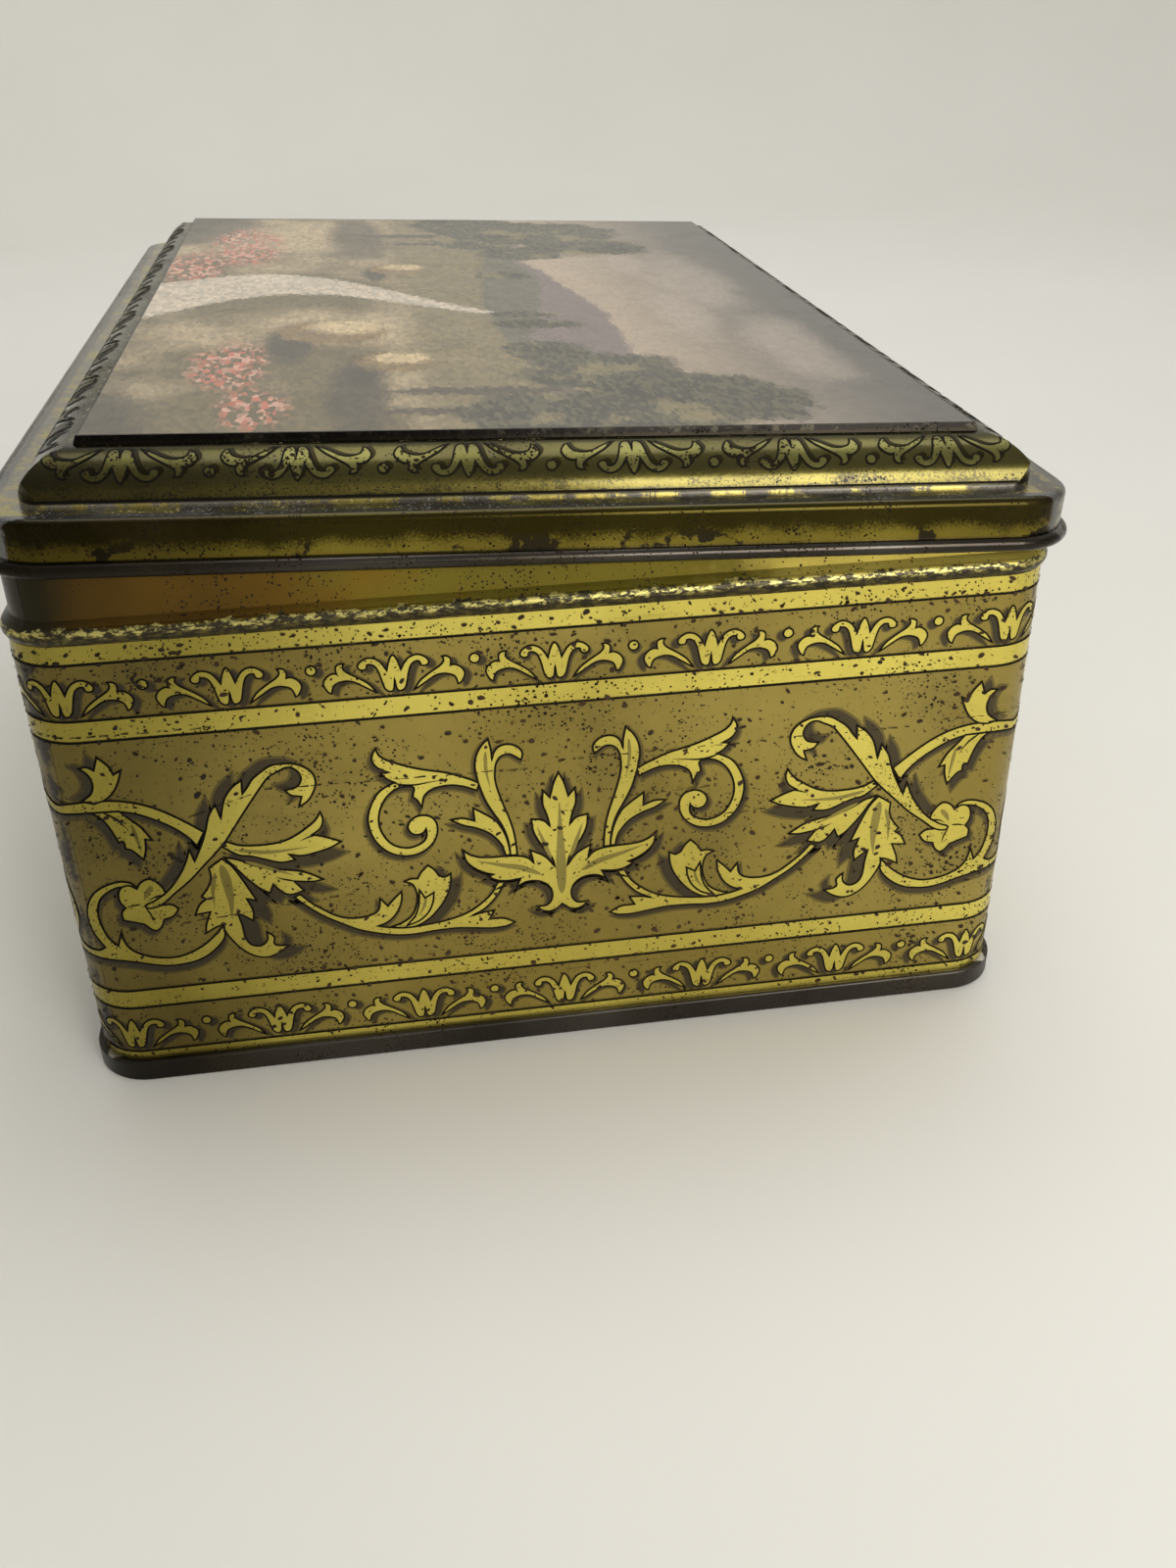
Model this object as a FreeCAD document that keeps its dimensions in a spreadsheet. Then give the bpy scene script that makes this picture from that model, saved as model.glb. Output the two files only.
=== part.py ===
"""A printed tinplate box with a hinged lid, built up from its pressed and folded sheet pieces.

X runs along the long side, Y across it with the hinge at +Y, Z is up. The origin is the middle of
the underside. Lengths are in millimetres. The lid is drawn closed and then laid ajar at its rest angle.
"""
import FreeCAD
import Part
import math
import os

# Driving sizes: name, value, what it measures.
SIZES = (
    ("wall_length", 229.7, "outside length of the walls"),
    ("wall_width", 160.0, "outside width of the walls"),
    ("corner_radius", 8.5, "outside radius of the wall corners"),
    ("tin", 0.35, "thickness of the tinplate"),
    ("fold_gap", 0.02, "air between folded layers of the foot seam"),
    ("rim_height", 4.0, "height of the folded foot seam"),
    ("rim_round", 0.5, "rounding of the foot seam"),
    ("wall_height", 80.7, "height of the walls up to the raised bead"),
    ("bead_tall", 2.6, "height of the raised bead"),
    ("bead_radius", 1.5, "radius of the bead in section"),
    ("neck_slope", 0.9, "height over which the neck is drawn in"),
    ("neck_inset", 0.9, "how far the neck is set in"),
    ("neck_tall", 8.0, "straight height of the neck up to the mouth"),
    ("hem_depth", 4.0, "depth of the hem folded inside the mouth"),
    ("lap_width", 3.2, "overlap of the corner seams"),
    ("lap_root", 3.0, "length of the lap tongue held on its own sheet"),
    ("seam_clearance", 0.14, "gap between the two edges at a corner seam"),
    ("solder_width", 1.3, "width of a solder fillet"),
    ("solder_end", 2.5, "bare lap between a solder fillet and the bead or the foot seam"),
    ("lid_overhang", 1.3, "lid skirt beyond the wall"),
    ("lid_shift", 0.6, "lid set back towards the hinge"),
    ("wire_offset", 0.15, "middle of the edge wire outside the skirt"),
    ("wire_radius", 0.76, "radius of the edge wire"),
    ("wire_fit", 0.04, "clearance of the wire in the rolled edge"),
    ("wire_gap", 1.0, "gap between the two ends of the wire"),
    ("lid_air", 0.35, "air between the mouth and the closed lid"),
    ("skirt_drop", 7.05, "from the ledge of the lid down to the middle of the edge wire"),
    ("ledge_round", 1.2, "rounding of the ledge into the skirt"),
    ("ledge_width", 5.8, "width of the ledge up to the moulding"),
    ("foot_corner", 4.0, "corner radius at the foot of the moulding"),
    ("ovolo_radius", 7.3, "radius of the rounded moulding"),
    ("ovolo_width", 7.65, "width of the rounded moulding"),
    ("ovolo_rise", 6.6, "rise of the rounded moulding"),
    ("step_slope", 0.4, "width of the step round the panel"),
    ("step_rise", 1.25, "height of the step round the panel"),
    ("strap_tin", 0.44, "thickness of a hinge strap"),
    ("strap_width", 22.0, "width of a hinge strap"),
    ("strap_spacing", 124.0, "distance between the middles of the straps"),
    ("strap_leaf", 12.0, "length of a strap soldered to the back wall"),
    ("strap_seat", 0.02, "solder film behind a strap"),
    ("kink_tall", 2.2, "height of the bend that clears the bead"),
    ("kink_clearance", 0.5, "from the bend up to the bead"),
    ("knuckle_clearance", 0.05, "running clearance of a knuckle on the wire"),
    ("slot_side", 0.5, "clearance beside a knuckle in the rolled edge"),
    ("slot_top", 0.45, "clearance above a knuckle in the skirt"),
)
REST_ANGLE = 2.55
REACH_SHARE = 1.5

document = FreeCAD.newDocument("box")
sheet = document.addObject("Spreadsheet::Sheet", "sizes")
for row, (alias, value, meaning) in enumerate(SIZES, start=1):
    sheet.set(f"A{row}", alias)
    sheet.set(f"B{row}", str(value))
    sheet.set(f"C{row}", meaning)
    sheet.setAlias(f"B{row}", alias)
document.recompute()


class Dim:
    """A length as sheet expression text together with its present value."""

    def __init__(self, text, value):
        self.text = text
        self.value = value

    def __add__(self, other):
        return Dim(f"({self.text} + {other.text})", self.value + other.value)

    def __sub__(self, other):
        return Dim(f"({self.text} - {other.text})", self.value - other.value)

    def __neg__(self):
        return Dim(f"(-1 * {self.text})", -self.value)

    def __mul__(self, share):
        factor = share if isinstance(share, Dim) else Dim(f"({share})", share)
        return Dim(f"({self.text} * {factor.text})", self.value * factor.value)

    def __truediv__(self, share):
        factor = share if isinstance(share, Dim) else Dim(f"({share})", share)
        return Dim(f"({self.text} / {factor.text})", self.value / factor.value)


def size(alias):
    """The driving size of that name."""
    return Dim(f"sizes.{alias}", float(sheet.get(alias)))


def hypotenuse(first, second):
    """Length of the diagonal of two lengths at right angles."""
    text = f"sqrt({first.text} ^ 2 + {second.text} ^ 2)"
    return Dim(text, math.hypot(first.value, second.value))


def leg(slope, side):
    """Third side of a right triangle with that slope and side."""
    text = f"sqrt({slope.text} ^ 2 - {side.text} ^ 2)"
    return Dim(text, math.sqrt(slope.value ** 2 - side.value ** 2))


ZERO = Dim("0", 0.0)


def bind(thing, prop, dim):
    """Tie one property to the sheet."""
    thing.setExpression(prop, dim.text)


def new_body(name):
    """An empty body with its own label."""
    body = document.addObject("PartDesign::Body", name)
    body.Label = name
    return body


def new_sketch(body, name, role, height=None):
    """A sketch on an origin plane of the body, raised by height where given."""
    sketch = body.newObject("Sketcher::SketchObject", name)
    planes = [item for item in body.Origin.OriginFeatures if item.Role == role]
    sketch.AttachmentSupport = [(planes[0], "")]
    sketch.MapMode = "FlatFace"
    if height is not None:
        bind(sketch, "AttachmentOffset.Base.z", height)
    return sketch


def arc_through(start, end, radius, turn, major):
    """An arc from start to end; turn 1 runs counter-clockwise, -1 clockwise."""
    ax, ay = start[0].value, start[1].value
    bx, by = end[0].value, end[1].value
    chord = math.hypot(bx - ax, by - ay)
    rise = math.sqrt(max(radius.value ** 2 - chord ** 2 / 4, 0.0))
    side = -turn if major else turn
    middle_x = (ax + bx) / 2 - side * rise * (by - ay) / chord
    middle_y = (ay + by) / 2 + side * rise * (bx - ax) / chord
    circle = Part.Circle(FreeCAD.Vector(middle_x, middle_y, 0), FreeCAD.Vector(0, 0, 1), radius.value)
    first = math.atan2(ay - middle_y, ax - middle_x)
    last = math.atan2(by - middle_y, bx - middle_x)
    if turn < 0:
        first, last = last, first
    return Part.ArcOfCircle(circle, first, last)


def pin(sketch, geometry, corner, point):
    """Hold one vertex of a sketch at a point given by two lengths."""
    import Sketcher
    for kind, axis, dim in (("DistanceX", -2, point[0]), ("DistanceY", -1, point[1])):
        if dim is ZERO:
            sketch.addConstraint(Sketcher.Constraint("PointOnObject", geometry, corner, axis))
            continue
        held = Sketcher.Constraint(kind, -1, 1, geometry, corner, dim.value)
        bind(sketch, f"Constraints[{sketch.addConstraint(held)}]", dim)


def trace(sketch, points, arcs=None):
    """Draw a closed outline through the points; arcs maps a segment to (radius, turn, major)."""
    import Sketcher
    arcs = arcs or {}
    ends = []
    for index, start in enumerate(points):
        end = points[(index + 1) % len(points)]
        if index in arcs:
            radius, turn, major = arcs[index]
            geometry = sketch.addGeometry(arc_through(start, end, radius, turn, major), False)
            ends.append((geometry, 1, 2) if turn > 0 else (geometry, 2, 1))
            continue
        first = FreeCAD.Vector(start[0].value, start[1].value, 0)
        last = FreeCAD.Vector(end[0].value, end[1].value, 0)
        ends.append((sketch.addGeometry(Part.LineSegment(first, last), False), 1, 2))
    for index, (geometry, first, last) in enumerate(ends):
        other, other_first, unused = ends[(index + 1) % len(ends)]
        sketch.addConstraint(Sketcher.Constraint("Coincident", geometry, last, other, other_first))
        pin(sketch, geometry, first, points[index])
        if index in arcs:
            radius = arcs[index][0]
            held = Sketcher.Constraint("Radius", geometry, radius.value)
            bind(sketch, f"Constraints[{sketch.addConstraint(held)}]", radius)


def circle_at(sketch, point, radius):
    """Draw a full circle round a point."""
    import Sketcher
    centre = FreeCAD.Vector(point[0].value, point[1].value, 0)
    round_edge = Part.Circle(centre, FreeCAD.Vector(0, 0, 1), radius.value)
    geometry = sketch.addGeometry(round_edge, False)
    pin(sketch, geometry, 3, point)
    held = Sketcher.Constraint("Radius", geometry, radius.value)
    bind(sketch, f"Constraints[{sketch.addConstraint(held)}]", radius)


def rounded_plan(sketch, half_x, half_y, radius, shift=ZERO):
    """Draw a rounded rectangle that starts in the middle of its front edge."""
    straight_x = half_x - radius
    low, high = shift - half_y, shift + half_y
    low_bend, high_bend = low + radius, high - radius
    points = [(ZERO, low), (straight_x, low), (half_x, low_bend), (half_x, high_bend)]
    points += [(straight_x, high), (-straight_x, high), (-half_x, high_bend)]
    points += [(-half_x, low_bend), (-straight_x, low)]
    bends = {index: (radius, 1, False) for index in (1, 3, 5, 7)}
    trace(sketch, points, bends)


def pad(body, name, sketch, length, both_ways=False):
    """Raise a sketch, to one side or evenly to both."""
    feature = body.newObject("PartDesign::Pad", name)
    feature.Profile = sketch
    bind(feature, "Length", length)
    if both_ways:
        feature.SideType = "Symmetric"
    body.Tip = feature
    document.recompute()
    return feature


def pipe(body, name, section, path):
    """Carry a section along a path."""
    feature = body.newObject("PartDesign::AdditivePipe", name)
    feature.Profile = section
    feature.Spine = path
    body.Tip = feature
    document.recompute()
    return feature


def pocket(body, name, sketch, length):
    """Cut a sketch out evenly to both sides."""
    feature = body.newObject("PartDesign::Pocket", name)
    feature.Profile = sketch
    feature.SideType = "Symmetric"
    bind(feature, "Length", length)
    body.Tip = feature
    document.recompute()
    return feature


def combine(kind, name, base, tool):
    """Join, cut or intersect two objects."""
    result = document.addObject(f"Part::{kind}", name)
    result.Label = name
    result.Base = base
    result.Tool = tool
    result.Refine = True
    document.recompute()
    return result


# Lengths that several pieces share.
tin = size("tin")
gap = size("fold_gap")
half_length = size("wall_length") / 2
half_width = size("wall_width") / 2
corner = size("corner_radius")
bead_foot = size("wall_height")
bead_head = bead_foot + size("bead_tall")
neck_start = bead_head + size("neck_slope")
mouth = neck_start + size("neck_tall")
ledge = mouth + size("lid_air") + tin
overhang = size("lid_overhang")
lid_shift = size("lid_shift")
wire_height = ledge - size("skirt_drop")
wire_radius = size("wire_radius")
wire_out = overhang + size("wire_offset")
hinge_y = half_width + wire_out + lid_shift
curl_inner = wire_radius + size("wire_fit")
curl_outer = curl_inner + tin
knuckle_inner = wire_radius + size("knuckle_clearance")
knuckle_outer = knuckle_inner + size("strap_tin")


def front(outward, height):
    """A point of a wall section, taken at the middle of the front wall."""
    return (-half_width - outward, height)


def ring(name, points, arcs):
    """A band carried once round the walls."""
    body = new_body(name)
    path = new_sketch(body, f"{name}_path", "XY_Plane")
    rounded_plan(path, half_length, half_width, corner)
    section = new_sketch(body, f"{name}_section", "YZ_Plane")
    trace(section, points, arcs)
    document.recompute()
    pipe(body, f"{name}_sweep", section, path)
    return body


# Walls: one sheet section with its foot flange, bead, set-in neck and hemmed mouth.
bead_radius = size("bead_radius")
neck_inset = size("neck_inset")
hem_foot = mouth - size("hem_depth")
flange_out = gap * 2 + tin * 2
flange_top = size("rim_height") - tin - gap
foot = tin + gap
wall_points = [
    front(-tin, foot),
    front(flange_out, foot),
    front(flange_out, flange_top),
    front(flange_out - tin, flange_top),
    front(flange_out - tin, foot + tin),
    front(ZERO, foot + tin),
    front(ZERO, bead_foot),
    front(ZERO, bead_head),
    front(-neck_inset, neck_start),
    front(-neck_inset, mouth),
    front(-neck_inset - tin * 2, mouth),
    front(-neck_inset - tin * 2, hem_foot),
    front(-neck_inset - tin, hem_foot),
    front(-neck_inset - tin, neck_start),
    front(-tin, bead_head),
    front(-tin, bead_foot),
]
wall_ring = ring("wall_ring", wall_points, {6: (bead_radius, -1, False), 14: (bead_radius, 1, False)})

# Lap tongue: the same section one sheet further in, between the base and the hem.
tongue_top = hem_foot - gap
tongue_points = [
    front(-tin * 2, foot),
    front(-tin, foot),
    front(-tin, bead_foot),
    front(-tin, bead_head),
    front(-neck_inset - tin, neck_start),
    front(-neck_inset - tin, tongue_top),
    front(-neck_inset - tin * 2, tongue_top),
    front(-neck_inset - tin * 2, neck_start),
    front(-tin * 2, bead_head),
    front(-tin * 2, bead_foot),
]
tongue_ring = ring("tongue_ring", tongue_points, {2: (bead_radius, -1, False), 8: (bead_radius, 1, False)})

# The corner seams lie on the line through two opposite corner centres.
centre_x = half_length - corner
centre_y = half_width - corner
centre_reach = hypotenuse(centre_x, centre_y)
along_x = centre_x / centre_reach
along_y = -(centre_y / centre_reach)


def seam_prism(name, side, start, end, low, high):
    """A block across a corner seam, from start to end round the corner."""
    body = new_body(name)
    plan = new_sketch(body, f"{name}_plan", "XY_Plane", low)
    reach = corner * 2
    corners = []
    for outward, across in ((ZERO, start), (reach, start), (reach, end), (ZERO, end)):
        x = centre_x + along_x * outward - along_y * across
        y = -centre_y + along_y * outward + along_x * across
        corners.append((x * side, y * side))
    trace(plan, corners)
    document.recompute()
    pad(body, f"{name}_block", plan, high - low)
    return body


def half_prism(name, side):
    """A block over one half of the plan, on one side of the line through the seams."""
    body = new_body(name)
    plan = new_sketch(body, f"{name}_plan", "XY_Plane")
    far_x = centre_x * REACH_SHARE * side
    far_y = centre_y * REACH_SHARE * side
    away = size("seam_clearance") * side / 2
    trace(plan, [(far_x, -far_y + away), (far_x, far_y), (-far_x, far_y + away)])
    document.recompute()
    pad(body, f"{name}_block", plan, mouth + tin)
    return body


def body_sheet(name, side):
    """One bent wall sheet: half of the walls with its lap tongue at one end."""
    half = half_prism(f"{name}_half", side)
    main = combine("Common", f"{name}_main", wall_ring, half)
    lap = seam_prism(f"{name}_lap", -side, -size("lap_root"), size("lap_width"), ZERO, mouth)
    tongue = combine("Common", f"{name}_tongue", tongue_ring, lap)
    return combine("Fuse", name, main, tongue)


back_sheet = body_sheet("body_back_sheet", 1)
front_sheet = body_sheet("body_front_sheet", -1)


def solder(name, side):
    """The fillet of solder that closes the step at the inner edge of a lap."""
    start = size("lap_width") + gap
    end = start + size("solder_width")
    low = size("rim_height") + size("solder_end")
    high = bead_foot - size("solder_end")
    block = seam_prism(f"{name}_block", side, start, end, low, high)
    return combine("Common", name, tongue_ring, block)


front_solder = solder("seam_solder_front", 1)
back_solder = solder("seam_solder_back", -1)

# Base: a flat panel whose edge is folded up round the wall flange and tucked in behind it.
rim = size("rim_height")
rim_round = size("rim_round")
rim_out = gap * 3 + tin * 3
tuck_foot = foot + tin + gap
base_plate = ring(
    "base_plate",
    [
        front(-rim, ZERO),
        front(rim_out - rim_round, ZERO),
        front(rim_out, rim_round),
        front(rim_out, rim - rim_round),
        front(rim_out - rim_round, rim),
        front(gap, rim),
        front(gap, tuck_foot),
        front(gap + tin, tuck_foot),
        front(gap + tin, rim - tin),
        front(rim_out - tin, rim - tin),
        front(rim_out - tin, tin),
        front(-rim, tin),
    ],
    {1: (rim_round, -1, False), 3: (rim_round, -1, False)},
)
base_plan = new_sketch(base_plate, "base_panel_plan", "XY_Plane")
rounded_plan(base_plan, half_length - rim, half_width - rim, corner - rim)
document.recompute()
pad(base_plate, "base_panel", base_plan, tin)

# Lid: skirt, rounded ledge, mitred ovolo moulding and raised panel, pressed from one sheet.
ledge_round = size("ledge_round")
foot_inset = size("ledge_width")
step_inset = foot_inset + size("ovolo_width")
panel_inset = step_inset + size("step_slope")
step = ledge + size("ovolo_rise")
panel = step + size("step_rise")
curl_join = wire_height + (curl_inner + curl_outer) / 2


def lid_form(name, inward, bottom):
    """The solid form of the lid, drawn in by the given length on every side."""
    body = new_body(name)
    skirt_plan = new_sketch(body, f"{name}_skirt_plan", "XY_Plane", bottom)
    grow = overhang - inward
    rounded_plan(skirt_plan, half_length + grow, half_width + grow, corner + grow, lid_shift)
    document.recompute()
    top = ledge - inward
    skirt = pad(body, f"{name}_skirt", skirt_plan, top - bottom)
    rounding = body.newObject("PartDesign::Fillet", f"{name}_rounding")
    upper = []
    for number, edge in enumerate(skirt.Shape.Edges, start=1):
        if abs(edge.BoundBox.ZMin - top.value) < inward.value / 2 + gap.value:
            upper.append(f"Edge{number}")
    rounding.Base = (skirt, upper)
    bind(rounding, "Radius", ledge_round - inward)
    body.Tip = rounding
    document.recompute()
    foot_grow = overhang - foot_inset - inward
    foot_plan = new_sketch(body, f"{name}_foot_plan", "XY_Plane", top)
    foot_x, foot_y = half_length + foot_grow, half_width + foot_grow
    rounded_plan(foot_plan, foot_x, foot_y, size("foot_corner") - inward, lid_shift)
    document.recompute()
    pad(body, f"{name}_moulding", foot_plan, panel - ledge)
    for role, half, middle in (("YZ_Plane", half_width, lid_shift), ("XZ_Plane", half_length, ZERO)):
        outside = half + overhang
        cut = new_sketch(body, f"{name}_{role}_cut", role)
        for side in (1, -1):
            insets = (ZERO, foot_inset, step_inset, panel_inset)
            edge, low, high, flat = [middle + (outside - inward - inset) * side for inset in insets]
            over = panel + rim
            outline = [(edge, top), (low, top), (high, step - inward), (flat, panel - inward)]
            outline += [(flat, over), (edge, over)]
            trace(cut, outline, {1: (size("ovolo_radius"), side, False)})
        document.recompute()
        pocket(body, f"{name}_{role}_ovolo", cut, size("wall_length") * 2)
    return body


def lid_ring(name, radius):
    """A round rod carried along the edge of the lid."""
    body = new_body(name)
    path = new_sketch(body, f"{name}_path", "XY_Plane")
    rounded_plan(path, half_length + wire_out, half_width + wire_out, corner + wire_out, lid_shift)
    section = new_sketch(body, f"{name}_section", "YZ_Plane")
    circle_at(section, (lid_shift - half_width - wire_out, wire_height), radius)
    document.recompute()
    pipe(body, f"{name}_sweep", section, path)
    return body


lid_outside = lid_form("lid_outside", ZERO, curl_join)
lid_inside = lid_form("lid_inside", tin, wire_height)
lid_pan = combine("Cut", "lid_pan", lid_outside, lid_inside)
lid_edged = combine("Fuse", "lid_edged", lid_pan, lid_ring("lid_curl", curl_outer))
lid_rolled = combine("Cut", "lid_rolled", lid_edged, lid_ring("lid_curl_bore", curl_inner))

# The rolled edge is slotted at the back, where a strap takes hold of the bare wire.
slot_cut = new_body("slot_cut")
slot_plan = new_sketch(slot_cut, "slot_plan", "XY_Plane", wire_height - knuckle_outer * 2)
slot_half = size("strap_width") / 2 + size("slot_side")
slot_low, slot_high = hinge_y - knuckle_outer * 2, hinge_y + knuckle_outer * 2
for side in (1, -1):
    middle = size("strap_spacing") / 2 * side
    near, far = middle - slot_half, middle + slot_half
    trace(slot_plan, [(near, slot_low), (far, slot_low), (far, slot_high), (near, slot_high)])
document.recompute()
pad(slot_cut, "slot_block", slot_plan, knuckle_outer * 3 + size("slot_top"))
lid_shell = combine("Cut", "lid_shell", lid_rolled, slot_cut)

# Edge wire: one length of steel wire with its ends meeting in the middle of the front.
lid_edge_wire = lid_ring("lid_edge_wire", wire_radius)
wire_cut = new_sketch(lid_edge_wire, "wire_cut", "XY_Plane")
wire_front = lid_shift - half_width - wire_out
cut_x, cut_low, cut_high = size("wire_gap") / 2, wire_front - curl_outer, wire_front + curl_outer
trace(wire_cut, [(-cut_x, cut_low), (cut_x, cut_low), (cut_x, cut_high), (-cut_x, cut_high)])
document.recompute()
pocket(lid_edge_wire, "wire_ends", wire_cut, mouth * 2)


def hinge_strap(name, side):
    """A strip soldered to the back wall, bent out past the bead and rolled round the wire."""
    body = new_body(name)
    section = new_sketch(body, f"{name}_section", "YZ_Plane")
    seat = half_width + size("strap_seat")
    strap = size("strap_tin")
    inner, outer = hinge_y - knuckle_outer, hinge_y - knuckle_inner
    kink_head = bead_foot - size("kink_clearance")
    kink_foot = kink_head - size("kink_tall")
    strap_foot = kink_foot - size("strap_leaf")
    points = [
        (seat, strap_foot),
        (seat + strap, strap_foot),
        (seat + strap, kink_foot),
        (outer, kink_head),
        (outer, wire_height - leg(knuckle_outer, knuckle_inner)),
        (inner, wire_height),
        (inner, kink_head),
        (seat, kink_foot),
    ]
    trace(section, points, {4: (knuckle_outer, 1, True)})
    circle_at(section, (hinge_y, wire_height), knuckle_inner)
    document.recompute()
    pad(body, f"{name}_strip", section, size("strap_width"), both_ways=True)
    bind(body, "Placement.Base.x", size("strap_spacing") * side / 2)
    document.recompute()
    return body


strap_left = hinge_strap("hinge_strap_left", -1)
strap_right = hinge_strap("hinge_strap_right", 1)

# The lid rests ajar, turned about the edge wire at the hinge.
axis_point = FreeCAD.Vector(0, hinge_y.value, wire_height.value)
ajar = FreeCAD.Rotation(FreeCAD.Vector(1, 0, 0), -REST_ANGLE)
for piece in (lid_shell, lid_edge_wire):
    piece.Placement = FreeCAD.Placement(FreeCAD.Vector(0, 0, 0), ajar, axis_point)
document.recompute()

# Every object is checked before the pieces are written out.
NODES = (
    back_sheet,
    front_sheet,
    front_solder,
    back_solder,
    base_plate,
    lid_shell,
    lid_edge_wire,
    strap_left,
    strap_right,
)
for thing in document.Objects:
    if "Invalid" in thing.State or "Error" in thing.State:
        raise RuntimeError(f"{thing.Name} did not recompute: {thing.State}")
os.makedirs("parts", exist_ok=True)
for node in NODES:
    if node.Shape.isNull() or not node.Shape.isValid():
        raise RuntimeError(f"{node.Label} has no valid shape")
    if len(node.Shape.Solids) != 1:
        raise RuntimeError(f"{node.Label} is not one solid: {len(node.Shape.Solids)}")
    node.Shape.exportStep(f"parts/{node.Label}.step")
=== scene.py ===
"""Looks of a printed tinplate box: its gold print, wear and lid picture, with floor, light and camera.

The walls are unrolled into a flat strip. Its first coordinate u runs round the box from the middle of
the near end towards the hinge side, its second is the height, both in millimetres. Print is drawn on
that strip and then laid on the walls. The lid is worked out closed and then laid ajar with the frame.
"""

import logging
import math
import random
from dataclasses import dataclass, field
from enum import Enum
from typing import Iterable, Sequence, Union

import bmesh
import bpy
from mathutils import Matrix, Vector
from mathutils.geometry import tessellate_polygon


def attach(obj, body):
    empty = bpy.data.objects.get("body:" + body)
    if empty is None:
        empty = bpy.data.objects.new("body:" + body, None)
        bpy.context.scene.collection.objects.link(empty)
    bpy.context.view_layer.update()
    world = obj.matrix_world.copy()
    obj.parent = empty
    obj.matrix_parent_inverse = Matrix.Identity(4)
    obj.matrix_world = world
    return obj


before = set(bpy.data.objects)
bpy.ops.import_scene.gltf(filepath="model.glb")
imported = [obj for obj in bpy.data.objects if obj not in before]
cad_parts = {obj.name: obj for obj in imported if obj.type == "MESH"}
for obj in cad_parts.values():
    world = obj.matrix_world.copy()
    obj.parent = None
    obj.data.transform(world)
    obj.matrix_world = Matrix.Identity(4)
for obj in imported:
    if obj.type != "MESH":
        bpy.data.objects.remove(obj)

LOG = logging.getLogger("tin_box")
MM = 0.001

Point = tuple[float, float]
Span = tuple[float, float]
Colour = tuple[float, float, float]
Outline = Sequence[tuple[float, ...]]
Shape = tuple[list[Point], float]
Mesh = bmesh.types.BMesh
Piece = bpy.types.Object
Material = bpy.types.Material
Socket = bpy.types.NodeSocket
Value = Union[Socket, Material, float, Sequence[float]]


@dataclass(frozen=True)
class BoxSizes:
    """Sizes of the box in millimetres, as the frame has them."""

    half_length: float = 114.85
    half_width: float = 80.0
    corner: float = 8.5
    bead_foot: float = 80.7
    rim_height: float = 4.0
    lid_overhang: float = 1.3
    lid_shift: float = 0.6
    wire_height: float = 85.85
    hinge_y: float = 82.05
    ledge: float = 92.9
    foot_inset: float = 5.8
    step_inset: float = 13.45
    step_foot: float = 99.5
    panel_inset: float = 13.85
    panel: float = 100.75
    ovolo_radius: float = 7.3
    ajar: float = math.radians(2.55)

    @property
    def end_straight(self) -> float:
        """Half the flat width of an end wall."""
        return self.half_width - self.corner

    @property
    def side_straight(self) -> float:
        """Half the flat length of a side wall."""
        return self.half_length - self.corner

    @property
    def bend(self) -> float:
        """Length of a corner round its outside."""
        return self.corner * math.pi / 2

    @property
    def quarter(self) -> float:
        """Way round from the middle of an end to the middle of the next side."""
        return self.end_straight + self.bend + self.side_straight

    @property
    def mitre(self) -> float:
        """Way round from the middle of an end to the middle of a corner."""
        return self.end_straight + self.bend / 2

    @property
    def lid_half_length(self) -> float:
        """Half the length of the lid's skirt."""
        return self.half_length + self.lid_overhang

    @property
    def lid_half_width(self) -> float:
        """Half the width of the lid's skirt."""
        return self.half_width + self.lid_overhang


SIZES = BoxSizes()


@dataclass(frozen=True)
class Bands:
    """Heights of the printed lines on the walls, in millimetres."""

    top_line: float = 77.6
    upper_band_foot: float = 68.55
    field_top: float = 65.0
    field_foot: float = 18.5
    lower_band_top: float = 14.9
    foot_line: float = 5.7
    line_width: float = 0.36
    band_step: float = 62.85


BANDS = Bands()


class Layer(Enum):
    """Print layers by their lift above the tin, in millimetres."""

    STRIPE = 0.03
    HALO = 0.04
    SHADOW = 0.05
    GOLD = 0.08
    LINE = 0.15
    SPECK = 0.17


class PrintKind(Enum):
    """What a printed mesh holds; the value ends the name of its piece."""

    FILLS = "fills"
    LINES = "lines"
    SHADOWS = "shadows"
    HALOS = "halos"


class LidSide(Enum):
    """The sides of the lid in their order round it."""

    NEAR_END = 0
    HINGE_SIDE = 1
    FAR_END = 2
    FRONT = 3


@dataclass(frozen=True)
class Finish:
    """Look of one printed or metal surface."""

    colour: Colour
    second: Colour
    metallic: float
    roughness: float
    specks: float = 1.0
    grime: float = 0.5
    scratches: float = 0.3
    bump: float = 0.12
    specular: float = 0.5
    coat: float = 0.0
    coat_roughness: float = 0.12


FIELD = Finish((0.345, 0.268, 0.062), (0.25, 0.188, 0.038), 0.72, 0.35)
GOLD = Finish((0.78, 0.67, 0.14), (0.62, 0.515, 0.10), 0.95, 0.27, specks=1.1, grime=0.3, scratches=0.15)
DULL_GOLD = Finish((0.150, 0.138, 0.042), (0.088, 0.080, 0.022), 0.94, 0.32, specks=2.0)
DULL_SHADOW = Finish((0.022, 0.017, 0.004), (0.014, 0.011, 0.003), 0.95, 0.4, specks=0.5, grime=0.2)
INK = Finish((0.006, 0.005, 0.003), (0.012, 0.009, 0.005), 0.0, 0.62, specks=0.0, grime=0.1, specular=0.06)
SHADOW = Finish((0.055, 0.039, 0.012), (0.037, 0.026, 0.008), 0.4, 0.45, specks=0.5, grime=0.2)
HALO = Finish((0.16, 0.121, 0.030), (0.12, 0.089, 0.022), 0.6, 0.40, specks=0.7, grime=0.3)
VEIN = Finish((0.34, 0.285, 0.075), (0.27, 0.22, 0.055), 0.85, 0.32, grime=0.3)
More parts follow.
